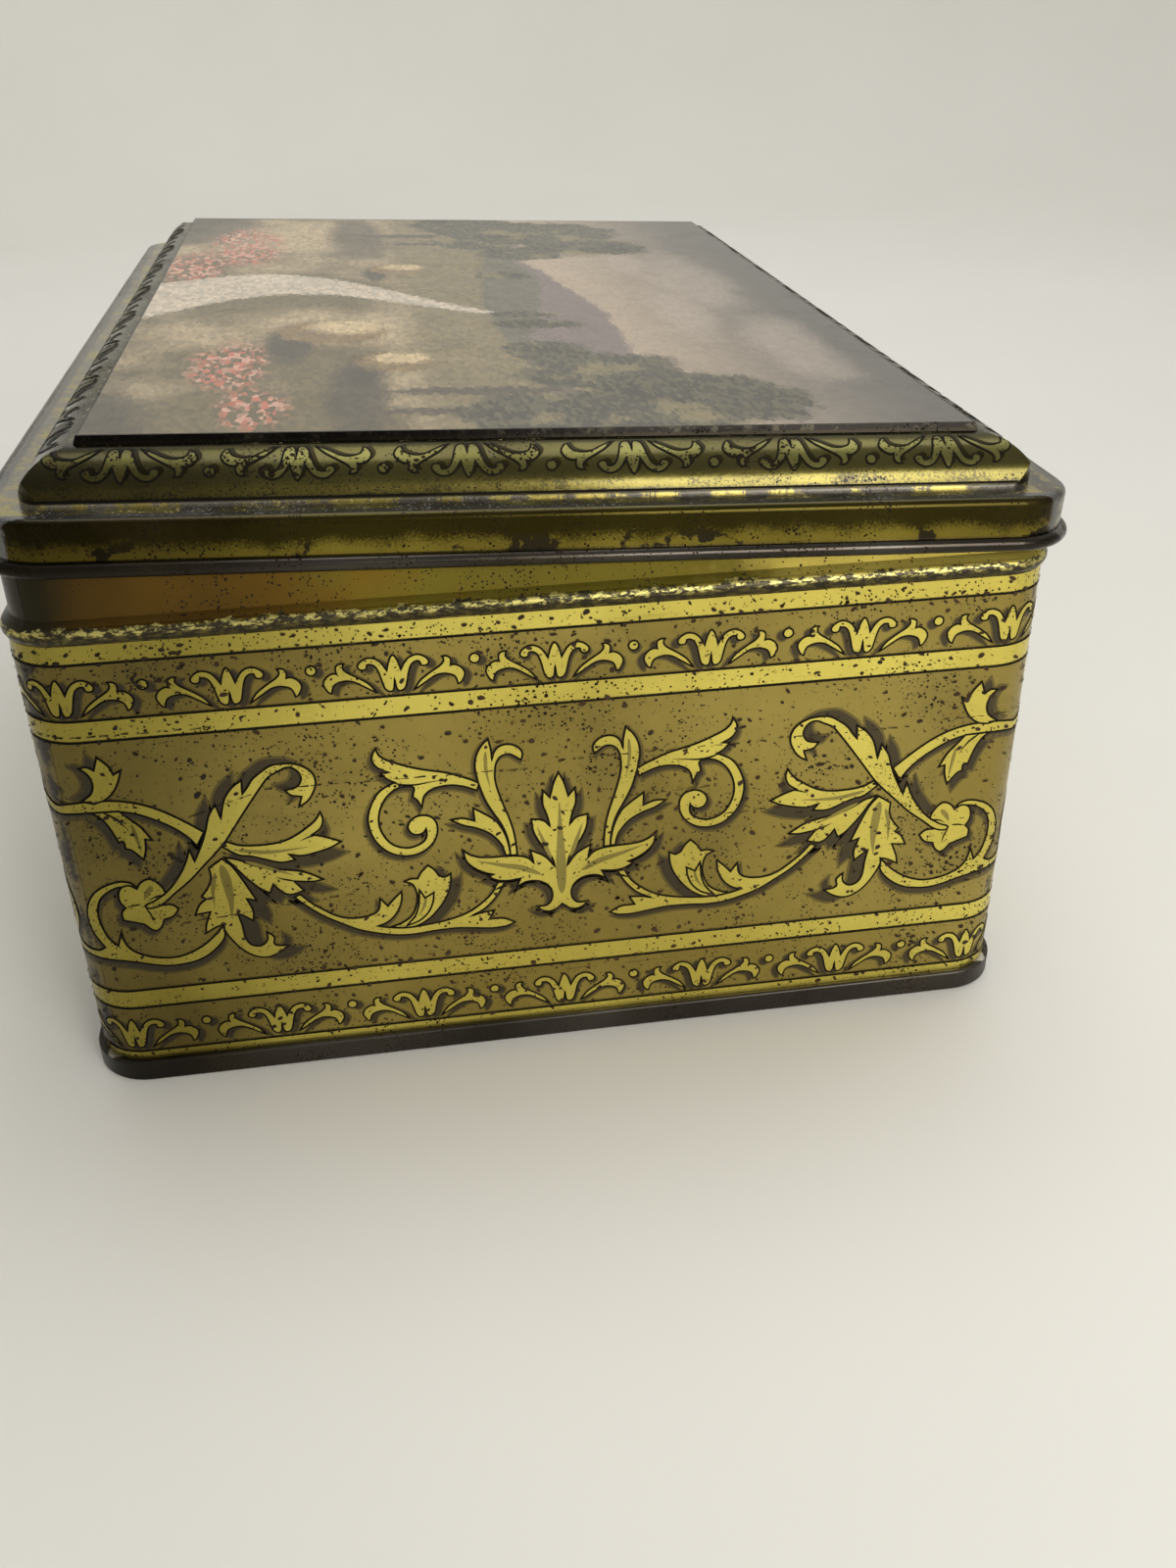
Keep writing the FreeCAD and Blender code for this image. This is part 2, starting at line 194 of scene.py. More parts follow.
RUST = Finish((0.016, 0.011, 0.006), (0.05, 0.027, 0.012), 0.0, 0.8, specks=0.0, grime=0.2, specular=0.25)
TARNISH = Finish((0.068, 0.060, 0.050), (0.028, 0.023, 0.018), 0.8, 0.36, specks=0.9, grime=0.7)
BARE_TIN = Finish((0.66, 0.635, 0.575), (0.47, 0.425, 0.34), 0.82, 0.36, specks=0.8, grime=0.35)
STRAP = Finish((0.33, 0.275, 0.13), (0.17, 0.135, 0.07), 0.85, 0.34, specks=1.4, grime=0.8, scratches=0.8)
WIRE = Finish((0.20, 0.17, 0.13), (0.10, 0.075, 0.05), 0.85, 0.4)
SOLDER = Finish((0.42, 0.41, 0.39), (0.28, 0.27, 0.25), 0.75, 0.45, specks=0.5)
LACQUER = Finish((0.30, 0.25, 0.06), (0.2, 0.16, 0.035), 0.95, 0.22, scratches=0.4)
VARNISH = Finish((0.30, 0.26, 0.19), (0.2, 0.17, 0.11), 0.0, 0.42, specks=0.25, bump=0.05, coat=0.45)


class NodeTree:
    """Short calls for building a node tree."""

    def __init__(self, tree: bpy.types.NodeTree) -> None:
        """Work on a tree."""
        self.tree = tree

    def add(self, kind: str, inputs: dict[str | int, Value] | None = None, **props: object) -> bpy.types.Node:
        """Add a node.

        Args:
            kind: node type.
            inputs: socket name or index to a value or to another node's socket.
            props: node properties.

        Returns:
            The node.
        """
        node = self.tree.nodes.new(kind)
        for name, value in props.items():
            setattr(node, name, value)
        for key, value in (inputs or {}).items():
            self.feed(node.inputs[key], value)
        return node

    def feed(self, socket: Socket, value: Value) -> None:
        """Link a socket to another, or set its value.

        Args:
            socket: the input to feed.
            value: another node's socket, or a number, vector or colour.
        """
        if isinstance(value, Socket):
            self.tree.links.new(value, socket)
        elif isinstance(value, tuple) and len(value) == 3 and socket.type == "RGBA":
            socket.default_value = (*value, 1.0)
        else:
            socket.default_value = value

    def math(self, operation: str, first: Value, second: Value = 0.0, clamp: bool = False) -> Socket:
        """A math node's result."""
        node = self.add("ShaderNodeMath", {0: first, 1: second}, operation=operation, use_clamp=clamp)
        return node.outputs[0]

    def plus(self, first: Value, second: Value) -> Socket:
        """A sum."""
        return self.math("ADD", first, second)

    def minus(self, first: Value, second: Value) -> Socket:
        """A difference."""
        return self.math("SUBTRACT", first, second)

    def times(self, first: Value, second: Value) -> Socket:
        """A product."""
        return self.math("MULTIPLY", first, second)

    def vectors(self, operation: str, first: Value, second: Value) -> bpy.types.NodeOutputs:
        """The outputs of a vector math node."""
        return self.add("ShaderNodeVectorMath", {0: first, 1: second}, operation=operation).outputs

    def axes(self, vector: Value) -> bpy.types.NodeOutputs:
        """The X, Y and Z of a vector."""
        return self.add("ShaderNodeSeparateXYZ", {"Vector": vector}).outputs

    def normal(self) -> bpy.types.NodeOutputs:
        """The X, Y and Z of the surface's direction, which turn with the object."""
        return self.axes(self.add("ShaderNodeTexCoord").outputs["Normal"])

    def mix(self, share: Value, first: Value, second: Value, blend: str = "MIX") -> Socket:
        """Mix two colours.

        Args:
            share: how much of the second.
            first: colour where the share is 0.
            second: colour where the share is 1.
            blend: blend mode.

        Returns:
            The mixed colour.
        """
        node = self.add("ShaderNodeMix", data_type="RGBA", blend_type=blend)
        for name, value in (("Factor", share), ("A", first), ("B", second)):
            self.feed(node.inputs[name], value)
        return node.outputs["Result"]

    def step(self, value: Value, low: float, high: float) -> Socket:
        """Make a smooth step.

        Args:
            value: what runs from low to high.
            low: where the step is 0.
            high: where the step is 1; it may be below low.

        Returns:
            The step, from 0 to 1.
        """
        node = self.add("ShaderNodeMapRange", {"Value": value}, interpolation_type="SMOOTHSTEP")
        bounds = (low, high, 0.0, 1.0) if low < high else (high, low, 1.0, 0.0)
        for name, bound in zip(("From Min", "From Max", "To Min", "To Max"), bounds):
            node.inputs[name].default_value = bound
        return node.outputs["Result"]

    def ramp(self, value: Value, span: Span) -> Socket:
        """A smooth step of a length in metres, over a span in millimetres."""
        return self.step(value, span[0] * MM, span[1] * MM)

    def noise(self, vector: Value, scale: float, detail: float = 3.0, roughness: float = 0.5) -> Socket:
        """Noise from 0 to 1."""
        values = {"Vector": vector, "Scale": scale, "Detail": detail, "Roughness": roughness}
        return self.add("ShaderNodeTexNoise", values).outputs["Fac"]

    def swing(self, vector: Value, scale: float, detail: float = 3.0, roughness: float = 0.5) -> Socket:
        """Noise that swings round 0."""
        return self.minus(self.noise(vector, scale, detail, roughness), 0.5)

    def stretched(self, vector: Value, scale: Colour) -> Socket:
        """A vector with each axis scaled."""
        return self.add("ShaderNodeMapping", {"Vector": vector, "Scale": scale}).outputs[0]

    def painted(self, geometry: Socket, paint: Socket) -> None:
        """End a geometry tree with its material."""
        done = self.add("GeometryNodeSetMaterial", {"Geometry": geometry, "Material": paint})
        self.add("NodeGroupOutput", {"Geometry": done.outputs["Geometry"]})


def add_sockets(group: bpy.types.NodeTree, inputs: dict[str, str], outputs: dict[str, str]) -> dict[str, str]:
    """Give a node group its sockets.

    Args:
        group: the node group.
        inputs: names and kinds of the inputs.
        outputs: names and kinds of the outputs.

    Returns:
        The identifiers of the inputs by name.
    """
    made = {}
    for name, kind in inputs.items():
        socket = group.interface.new_socket(name, in_out="INPUT", socket_type=f"NodeSocket{kind}")
        made[name] = socket.identifier
    for name, kind in outputs.items():
        group.interface.new_socket(name, in_out="OUTPUT", socket_type=f"NodeSocket{kind}")
    return made


@dataclass(frozen=True)
class TinWear:
    """The wear of old tinplate and a painted shade near the two soldered corners, one shader group for all
    materials; scales are to the metre.
    """

    patch_scale: float = 85.0
    patches: Span = (0.30, 0.74)
    everywhere: float = 0.18
    speck_grades: tuple[Span, ...] = ((880.0, 0.30), (2300.0, 0.62))
    rarity: float = 1.7
    ragged_scale: float = 3200.0
    raggedness: float = 0.3
    speck_edge: float = 0.05
    grime_scale: float = 42.0
    grime: Span = (0.44, 0.72)
    streaks: Colour = (14.0, 14.0, 950.0)
    scratched: Span = (0.66, 0.74)
    break_scale: float = 160.0
    unbroken: Span = (0.5, 0.62)
    # seam, seamed and the three after them place a painted shade that darkens colours near the two soldered
    # corners.
    seam: Point = (112.4, 77.5)
    seamed: Span = (-0.0003, -0.0030)
    seam_shade_scale: float = 36.0
    seam_shade_sway: float = 0.05
    seam_shade_reach: Span = (52.0, 4.0)
    dent_scale: float = 700.0
    speck_depth: float = 0.8

    def speck_mask(self, kit: NodeTree, vector: Socket, wanted: Socket) -> Socket:
        """Draw rust specks of two grades that gather in patches.

        Args:
            kit: the group being built.
            vector: place on the object.
            wanted: how many specks, 1 for the usual lot.

        Returns:
            The mask.
        """
        patches = kit.step(kit.noise(vector, self.patch_scale, 4.0, 0.65), *self.patches)
        ragged = kit.times(kit.swing(vector, self.ragged_scale, 2.0), self.raggedness)
        amount = kit.times(kit.plus(patches, self.everywhere), wanted)
        masks = []
        for scale, reach in self.speck_grades:
            cells = kit.add("ShaderNodeTexVoronoi", {"Vector": vector, "Scale": scale}).outputs
            pick = kit.add("ShaderNodeSeparateColor", {"Color": cells["Color"]})
            chance = kit.math("POWER", pick.outputs[0], self.rarity)
            size = kit.times(kit.times(chance, amount), reach)
            edge = kit.plus(kit.minus(size, cells["Distance"]), ragged)
            masks.append(kit.step(edge, 0.0, self.speck_edge))
        return kit.math("MAXIMUM", *masks)

    def seam_shade_mask(self, kit: NodeTree, vector: Socket) -> Socket:
        """Draw a painted shade that darkens colours near the two soldered corners.

        Args:
            kit: the group being built.
            vector: place on the object.

        Returns:
            The mask.
        """
        place = kit.axes(vector)
        # Painted shade: the mask darkens colours near the two soldered corners.
        seamed = kit.step(kit.times(place["X"], place["Y"]), *self.seamed)
        corner = dict(zip("XY", self.seam))
        ways = [kit.minus(kit.math("ABSOLUTE", place[axis]), corner[axis] * MM) for axis in corner]
        away = kit.math("SQRT", kit.plus(*[kit.times(way, way) for way in ways]))
        away = kit.plus(away, kit.times(kit.swing(vector, self.seam_shade_scale), self.seam_shade_sway))
        return kit.times(seamed, kit.ramp(away, self.seam_shade_reach))

    def group(self) -> bpy.types.NodeTree:
        """Build the group.

        Returns:
            A node group that gives the masks of the wear and of the painted shade, and a height.
        """
        group = bpy.data.node_groups.new("old_tin_wear", "ShaderNodeTree")
        results = ("Specks", "Grime", "Scratches", "Painted Shade", "Height")
        add_sockets(group, {"Vector": "Vector", "Speck Amount": "Float"}, dict.fromkeys(results, "Float"))
        kit = NodeTree(group)
        entry = kit.add("NodeGroupInput").outputs
        vector = entry["Vector"]
        specks = self.speck_mask(kit, vector, entry["Speck Amount"])
        streaks = kit.noise(kit.stretched(vector, self.streaks), 1.0, 3.0, 0.6)
        breaks = kit.noise(vector, self.break_scale, 2.0)
        kit.add("NodeGroupOutput", {
            "Specks": specks,
            "Grime": kit.step(kit.noise(vector, self.grime_scale, 5.0, 0.65), *self.grime),
            "Scratches": kit.times(kit.step(streaks, *self.scratched), kit.step(breaks, *self.unbroken)),
            # The painted shade near the two soldered corners.
            "Painted Shade": self.seam_shade_mask(kit, vector),
            "Height": kit.minus(kit.noise(vector, self.dent_scale), kit.times(specks, self.speck_depth)),
        })
        return group


@dataclass
class Surface:
    """A material being built, with its wear masks ready."""

    material: Material
    kit: NodeTree
    shader: bpy.types.Node
    vector: Socket
    wear: bpy.types.NodeOutputs


@dataclass
class Finishes:
    """Makes the materials from their finishes, on one shared wear group."""

    wear: bpy.types.NodeTree = field(default_factory=lambda: TinWear().group())
    cloud_scale: float = 28.0
    light_tone: Colour = (1.1, 1.1, 1.1)
    deep_tone: Colour = (0.72, 0.70, 0.66)
    # Tint and share of the painted shade near the soldered corners.
    seam_shade_tint: Colour = (0.34, 0.33, 0.28)
    seam_shade_share: float = 0.9
    dirt: Colour = (0.045, 0.033, 0.012)
    dirt_share: float = 0.55
    scratch: Colour = (0.02, 0.014, 0.007)
    speck: Colour = (0.018, 0.012, 0.006)
    grime_roughness: float = 0.14
    speck_roughness: float = 0.3
    dent_depth: float = 0.2

    def start(self, name: str, finish: Finish) -> Surface:
        """Open a material on object coordinates with the shared wear group in it.

        Args:
            name: name of the material.
            finish: what its plain values come from.

        Returns:
            The material being built.
        """
        material = bpy.data.materials.new(name)
        material.use_nodes = True
        kit = NodeTree(material.node_tree)
        shader = material.node_tree.nodes["Principled BSDF"]
        vector = kit.add("ShaderNodeTexCoord").outputs["Object"]
        wear = kit.add("ShaderNodeGroup", node_tree=self.wear)
        kit.feed(wear.inputs["Vector"], vector)
        kit.feed(wear.inputs["Speck Amount"], finish.specks)
        shader.inputs["Metallic"].default_value = finish.metallic
        shader.inputs["Specular IOR Level"].default_value = finish.specular
        shader.inputs["Coat Weight"].default_value = finish.coat
        shader.inputs["Coat Roughness"].default_value = finish.coat_roughness
        material.diffuse_color = (*finish.colour, 1.0)
        return Surface(material, kit, shader, vector, wear.outputs)

    def worn(self, surface: Surface, finish: Finish, colour: Value | None = None) -> Socket:
        """Wear a colour.

        Args:
            surface: the material being built.
            finish: gives the amounts of wear, and the colours where none is given.
            colour: the colour to wear.

        Returns:
            The colour with its variation, painted shade near the soldered corners, grime, scratches and
            specks.
        """
        kit, wear = surface.kit, surface.wear
        cloud = kit.noise(surface.vector, self.cloud_scale, 4.0)
        if colour is None:
            base = kit.mix(kit.step(cloud, 0.32, 0.7), finish.colour, finish.second)
        else:
            tone = kit.mix(kit.step(cloud, 0.3, 0.72), self.light_tone, self.deep_tone)
            base = kit.mix(1.0, colour, tone, "MULTIPLY")
        # Painted shade: darken the colour near the two soldered corners.
        dull = kit.mix(1.0, base, self.seam_shade_tint, "MULTIPLY")
        base = kit.mix(kit.times(wear["Painted Shade"], self.seam_shade_share), base, dull)
        base = kit.mix(kit.times(wear["Grime"], finish.grime * self.dirt_share), base, self.dirt)
        base = kit.mix(kit.times(wear["Scratches"], finish.scratches), base, self.scratch)
        return kit.mix(wear["Specks"], base, self.speck)

    def close(self, surface: Surface, finish: Finish, colour: Socket) -> Material:
        """Link colour, roughness and bump.

        Args:
            surface: the material being built.
            finish: gives roughness and bump.
            colour: the finished colour.

        Returns:
            The material.
        """
        kit, wear, inputs = surface.kit, surface.wear, surface.shader.inputs
        kit.feed(inputs["Base Color"], colour)
        rough = kit.plus(finish.roughness, kit.times(wear["Grime"], self.grime_roughness))
        rough = kit.math("ADD", rough, kit.times(wear["Specks"], self.speck_roughness), clamp=True)
        kit.feed(inputs["Roughness"], rough)
        bump = {"Height": wear["Height"], "Strength": finish.bump, "Distance": self.dent_depth * MM}
        kit.feed(inputs["Normal"], kit.add("ShaderNodeBump", bump).outputs["Normal"])
        return surface.material

    def plain(self, name: str, finish: Finish) -> Material:
        """A material of one worn finish all over."""
        surface = self.start(name, finish)
        return self.close(surface, finish, self.worn(surface, finish))


def unroll(u: float) -> tuple[Vector, Vector]:
    """Find where a way round the walls leads.

    Args:
        u: way round from the middle of the near end, in millimetres.

    Returns:
        The point on the wall's outside and the outward direction, both flat.
    """
    whole = 4 * SIZES.quarter
    u = (u + whole / 2) % whole - whole / 2
    side = 1.0 if u >= 0 else -1.0
    left = abs(u)
    far = left > 2 * SIZES.quarter - SIZES.end_straight - SIZES.bend
    if far:
        left = 2 * SIZES.quarter - left
    end = -1.0 if far else 1.0
    if left < SIZES.end_straight:
        point, out = (SIZES.half_length, left), (1.0, 0.0)
    elif left < SIZES.end_straight + SIZES.bend:
        turn = (left - SIZES.end_straight) / SIZES.corner
        out = (math.cos(turn), math.sin(turn))
        point = (SIZES.side_straight + SIZES.corner * out[0], SIZES.end_straight + SIZES.corner * out[1])
    else:
        point = (SIZES.side_straight - (left - SIZES.end_straight - SIZES.bend), SIZES.half_width)
        out = (0.0, 1.0)
    return Vector((end * point[0], side * point[1], 0.0)), Vector((end * out[0], side * out[1], 0.0))


def on_wall(u: float, z: float, lift: float) -> Vector:
    """The place of a strip point on the wall, in metres."""
    point, out = unroll(u)
    return (point + out * lift + Vector((0.0, 0.0, z))) * MM


def open_lid(point: Vector) -> Vector:
    """Take a point of the closed lid to its place at rest.

    Args:
        point: place on the closed lid, in millimetres.

    Returns:
        The place at rest, in metres.
    """
    axis = Vector((0.0, SIZES.hinge_y, SIZES.wire_height))
    turned = Matrix.Rotation(-SIZES.ajar, 3, "X") @ (point - axis)
    return (turned + axis) * MM


@dataclass(frozen=True)
class Motif:
    """A closed shape of the ornament; a third number marks a sharp point, level what covers what.

    drop is where its shadow falls, and a shape that is not filled gives its shadow alone.
    """

    points: Outline
    level: int = 0
    drop: Point = (0.4, -0.7)
    filled: bool = True

    def moved(self, centre: float, side: float = 1.0, rise: float = 0.0) -> "Motif":
        """Set the shape elsewhere.

        Args:
            centre: way round to its new middle.
            side: -1 for its mirror image.
            rise: how far up.

        Returns:
            The moved shape.
        """
        points = [(centre + side * p[0], p[1] + rise, *p[2:]) for p in self.points]
        drop = (side * self.drop[0], self.drop[1])
        return Motif(tuple(points if side > 0 else reversed(points)), self.level, drop, self.filled)


def doubled(points: Outline, line: float, level: int = 0, drop: Point = (0.0, -0.9)) -> Motif:
    """Close an open half outline with its mirror image.

    Args:
        points: half the outline, from its top to its foot.
        line: where the mirror stands.
        level: what the shape covers.
        drop: where its shadow falls.

    Returns:
        The whole shape.
    """
    other = [(2 * line - p[0], *p[1:]) for p in reversed(points)]
    half = list(points)
    if math.isclose(half[-1][0], line, abs_tol=1e-6):
        other = other[1:]
    if math.isclose(half[0][0], line, abs_tol=1e-6):
        other = other[:-1]
    return Motif(tuple(half + other), level, drop)


@dataclass(frozen=True)
class Stroke:
    """A tapered stroke along a line, widest at one third; a vein is a soft tone, else it is ink."""

    points: tuple[Point, ...]
    width: float
    vein: bool = False

    def moved(self, centre: float, side: float = 1.0) -> "Stroke":
        """The stroke set at a centre, mirrored where side is -1."""
        return Stroke(tuple((centre + side * u, z) for u, z in self.points), self.width, self.vein)


class Ornament:
    """The scroll and border shapes, drawn in millimetres from the middle of an end."""

    PALMETTE = (
        (0, 52.7, 1), (0.8, 50.9), (1.5, 48.2, 1), (2.6, 49.6, 1), (2.7, 47), (2.1, 45), (1.6, 42.7, 1),
        (2.7, 44), (4.6, 44.4, 1), (4.4, 42.2), (3.5, 40), (2.2, 38), (1.4, 36.5), (1.0, 34.8, 1),
        (2.6, 37), (5.0, 38.5, 1), (4.5, 35.9, 1), (5.4, 37), (7, 37.6), (9.5, 37.8), (13, 38), (15, 38.8),
        (16, 39.8, 1), (15.5, 37.5), (14.2, 36), (12.6, 35), (11.2, 34.5, 1), (12.1, 34.1, 1), (10.7, 33.3),
        (9, 33), (6.8, 33.2, 1), (7.6, 31.4, 1), (6.5, 32.2), (5.2, 32.5), (3.5, 32.2), (2.2, 31.2),
        (1.6, 29.7), (1.8, 28.2), (2.6, 27.3), (4.2, 27.2, 1), (3.5, 26.4), (2.2, 26), (1.0, 26.4),
        (0, 27.3, 1),
    )
    STEM = (
        (7.2, 37.9, 1), (7.3, 40), (7.6, 42.5), (8.2, 45), (9, 47.5), (9.7, 50), (10.1, 52), (10.1, 54),
        (9.7, 55.7), (8.9, 56.6), (7.7, 56.8), (6.7, 56.2), (5.85, 55.5, 1), (5.6, 56.8), (6.2, 57.8),
        (7.5, 58.5),
        (9, 58.4), (10, 57.5), (10.5, 55.9, 1), (10.5, 57.5), (10.9, 59.8, 1), (12, 58.7), (12.9, 57),
        (13.2, 55), (13, 53.2), (12.7, 51.6), (11.8, 48.6), (10.6, 46.1), (9.5, 44), (8.8, 42), (8.4, 39.8),
        (8.3, 37.9, 1),
    )
    SIDE_LEAF = (
        (9.1, 38, 1), (9.5, 39.7), (10.2, 41), (11.5, 42.5), (13.5, 43.7), (15.7, 44.5), (17.6, 45.7, 1),
        (15.7, 45.8), (13.8, 45.1, 1), (13.9, 47.5, 1), (12.5, 46.5), (11.2, 45.5), (10.2, 44.5), (9, 42),
        (8.5, 39.8), (8.3, 38, 1),
    )
    VOLUTE = (
        (12.7, 52, 1), (14, 52.8), (16, 53.7), (18, 54.5), (20, 55), (22.5, 55.7), (25, 56.7), (27, 57.7),
        (28, 58.7), (28.3, 59.8, 1), (29, 58.5), (28.9, 57.2), (28, 56.1), (26.6, 55.4, 1), (27.9, 55.3, 1),
        (27, 54.2), (25.9, 53.5, 1), (27, 53), (28.5, 52), (29.7, 50.2), (30.5, 48), (30.6, 46), (30, 43.5),
        (28.7, 41.5), (27, 40.2), (24.7, 39.7), (22.5, 40.2), (20.7, 41.7), (19.85, 43.7), (20, 45.7),
        (21, 46.8), (22.7, 47), (24, 46.2), (24.5, 45), (24, 43.9), (23, 43.5), (22, 43.9), (21.6, 44.6, 1),
        (21.6, 43.2), (22, 42.3), (23.2, 41.5), (25, 41.2), (27, 42), (28.2, 43.5), (28.9, 45.5),
        (28.9, 47.5),
        (28.2, 49.7), (27, 51.4), (25.5, 52.4), (24, 52.6), (23, 52.3), (23.1, 51.4), (23.3, 50.6, 1),
        (22.6, 49.9), (22, 48.4, 1), (21.5, 50.5), (20.5, 51.5), (19, 52), (17, 52.1), (15, 51.6),
        (13.1, 50.7, 1),
    )
    BRANCH_LEFT = (
        (31, 26.5, 1), (28.5, 25.9), (26, 25.6), (22, 25.9), (18.5, 26.5), (15.7, 27.5), (13.5, 29),
        (11.7, 30.8),
        (10.7, 32.8, 1), (9.5, 32.8, 1), (10.1, 31.5), (11.2, 29.8), (13, 27.9), (15.6, 26.5, 1), (14, 27),
        (11.5, 27.3, 1), (12.4, 25.6, 1), (10, 25.5), (8.1, 24.5, 1), (9.5, 23.9), (12, 23.75), (15, 24.15),
        (18, 24.5), (22, 24.4), (25, 24.15), (28, 24.35), (31, 25.1),
    )
    BUD = (
        (31, 29.2), (30.3, 30.2), (30.1, 32, 1), (28.9, 30.3, 1), (28, 31.4), (26.5, 32.9, 1), (26.6, 31.2),
        (27.2, 29.5), (28.2, 28), (29.5, 27),
    )
    BRANCH_RIGHT = (
        (34, 26.2), (37, 28), (39.5, 29.7), (42, 32), (43.7, 33.9, 1), (42.7, 34.3, 1), (41.2, 32.5),
        (39.5, 31),
        (37.5, 29.5), (35.5, 28.7), (33, 28.6),
    )
    TULIP = (
        (18.25, 35.5, 1), (19.3, 34.9), (20.25, 35.4, 1), (20.9, 36.6), (21.85, 37.5, 1), (23, 36.3),
        (23.7, 35.1, 1), (24.8, 35.2), (25.9, 34.8, 1), (24.6, 34.1), (24, 32), (24.3, 29.8), (25.2, 27.9),
        (27, 26.6), (29, 26, 1), (25, 25.7), (22.5, 26.9), (20.5, 29), (19, 31.5), (18.4, 33.5),
    )
    TULIP_HEART = (
        (21.25, 32.1, 1), (21.5, 30.3), (22.4, 28.3), (24, 26.8), (26.2, 26, 1), (24.6, 27.9), (23.9, 29.9),
        (23.7, 31.5), (23.6, 33, 1), (22.75, 31.2, 1),
    )
    STALK = (
        (67, 35.1), (66.5, 34.5), (64.5, 35), (62, 37), (59.5, 39), (57, 41.5), (55, 43.5), (53, 45.7),
        (51, 48.5),
        (48.5, 52), (46.5, 54.7), (45, 56.5), (43.5, 57.3), (42, 57.9), (40.7, 57.3), (40.1, 55.8),
        (40.7, 54.5),
        (41.5, 54.1), (42.8, 53.9, 1), (42, 52.9), (41.2, 52.7), (40.4, 52.5, 1), (41, 50.7, 1), (39.5, 51.7),
        (38.5, 53.2), (38, 54.7), (38.2, 56.2), (39.2, 57.5), (41, 58.4), (43, 58.6), (44.5, 58.4),
        (46, 57.5),
        (47.5, 56.3), (48.4, 55), (49.3, 53.9, 1), (49.1, 56.4, 1), (50.7, 55.2), (52, 53.5), (52.7, 51.5),
        (53.1, 49.8, 1), (53.6, 52.5, 1), (54.9, 50.5), (55.7, 48), (56.7, 45.5), (58.2, 42.5, 1),
        (58.7, 44.8, 1),
        (59.5, 42.7), (60.7, 40.5), (63, 37.6), (65.5, 35.8),
    )
    UPPER_SPRAY = (
        (52.9, 45.6, 1), (51, 44.7), (48, 44.35), (45, 44.5), (43, 45.1), (40.5, 46.6), (38.8, 48),
        (37.9, 49.4, 1),
        (37.6, 48), (38.2, 46.4), (39.6, 45.4, 1), (37.5, 44.7), (35.2, 43.6, 1), (37, 42.7), (39.5, 42),
        (41.7, 41.7), (43.6, 42.2, 1), (42.7, 41, 1), (45, 40.8), (47.5, 41.7), (49.5, 42.5), (51.3, 42.9),
        (53.5, 44.6, 1),
    )
    LOWER_SPRAY = (
        (53.6, 42.7, 1), (51.5, 42), (49.5, 40.8), (47, 39.8), (44, 39.2), (41.5, 38.5), (38.7, 36.8, 1),
        (40.5, 36.6), (43.4, 37, 1), (42, 35, 1), (44.3, 34.5), (45.6, 35.3), (46.7, 36.8, 1),
        (47.4, 35.2, 1),
        (48.6, 36), (50.5, 38.2), (52.4, 41),
    )
    DROP_LEAF = (
        (54, 42.5, 1), (52.7, 41), (51.5, 38.5), (49.7, 34, 1), (51.2, 34.5, 1), (50.5, 32), (50.7, 30.1, 1),
        (52, 31.2), (53, 31.9, 1), (52.6, 29.5), (52.4, 27), (51.7, 25.5), (50.2, 25), (49, 26),
        (48.9, 27.6, 1),
        (47.8, 26.5), (47.9, 25), (45.7, 24.5, 1), (47.5, 23.2), (49.5, 22.6), (51.5, 23.2), (53.2, 24.7),
        (54.7, 27),
        (55.5, 29), (55.4, 30, 1), (56.5, 29.7), (58.5, 28.6, 1), (58.2, 30.2), (57.2, 32.7, 1),
        (59.6, 32.4, 1),
        (58.7, 34.2), (57.5, 35.2, 1), (58.1, 35.8, 1), (57, 37.2), (56.2, 39), (56.2, 41, 1),
    )
    RING = (
        (78.18, 26.3), (76, 26.6), (74.7, 27.4, 1), (76.3, 30), (76.9, 32.5), (76.4, 35), (75, 37.5),
        (73, 39.2),
        (70.5, 40), (68.6, 39.6), (67.8, 38.6, 1), (69, 39), (71, 38.9), (73, 37.7), (74.2, 36), (74.7, 33.7),
        (74.5, 31.5), (73.7, 29.2), (72.5, 27.8, 1), (71.5, 30.7, 1), (71.5, 29), (70.7, 27), (69, 25.6),
        (66.5, 24.7),
        (63.5, 24.5), (60.5, 25.5), (58, 27.2), (55.6, 29.7, 1), (55.6, 27.6), (57.5, 25.2), (60, 23.6),
        (62.5, 23),
        (65, 22.9), (67.5, 23.4), (70, 24.2), (73, 24.9), (78.18, 25),
    )
    FLOWER = (
        (62, 33.9, 1), (63, 32.6), (64.6, 32.1, 1), (65, 31), (66.2, 30.1), (67.8, 31.6, 1), (69.4, 32.2),
        (70.8, 32.7, 1), (70.8, 34.2), (70.1, 35, 1), (70.8, 36.5), (70.4, 38.6), (69, 39.2), (67.8, 38.4, 1),
        (67, 39.5), (65.5, 40), (64, 38.5), (63.5, 37, 1), (65, 36), (66.6, 35.2, 1), (64.5, 34.9),
        (63, 34.8),
    )
    ARCH = (
        (78.18, 53.6), (75.5, 54.3), (73, 54.8), (70, 54.8), (67.5, 54.5), (64.5, 53.6), (61.5, 52),
        (58.5, 49.8),
        (56, 47.7, 1), (57.4, 45.3, 1), (58.5, 47), (60.5, 49), (63, 50.7), (65.5, 52), (68, 52.7),
        (72, 52.9),
        (74.5, 52.7), (78.18, 52.1),
    )
    ARCH_TULIP = (
        (66.5, 59.9, 1), (67.2, 58), (68.2, 56.3), (69.7, 55), (71.5, 54.6), (73.2, 55, 1), (71.5, 56.3),
        (71, 58),
        (71.5, 59.7), (72.5, 60.7, 1), (71.4, 60.9), (70.4, 60.2, 1), (69.6, 62.4, 1), (68.2, 60.7),
        (67.7, 59.2, 1),
    )
    ARCH_LEAF = (
        (68, 52.8, 1), (66.5, 51), (65.2, 49.5), (64, 47.1, 1), (65, 47.4, 1), (65.2, 45.5), (65.8, 43.7, 1),
        (67.4, 45.7), (68.2, 46, 1), (68.3, 47.3), (69, 47.2, 1), (69.9, 50), (71, 52), (72.2, 52.9, 1),
    )
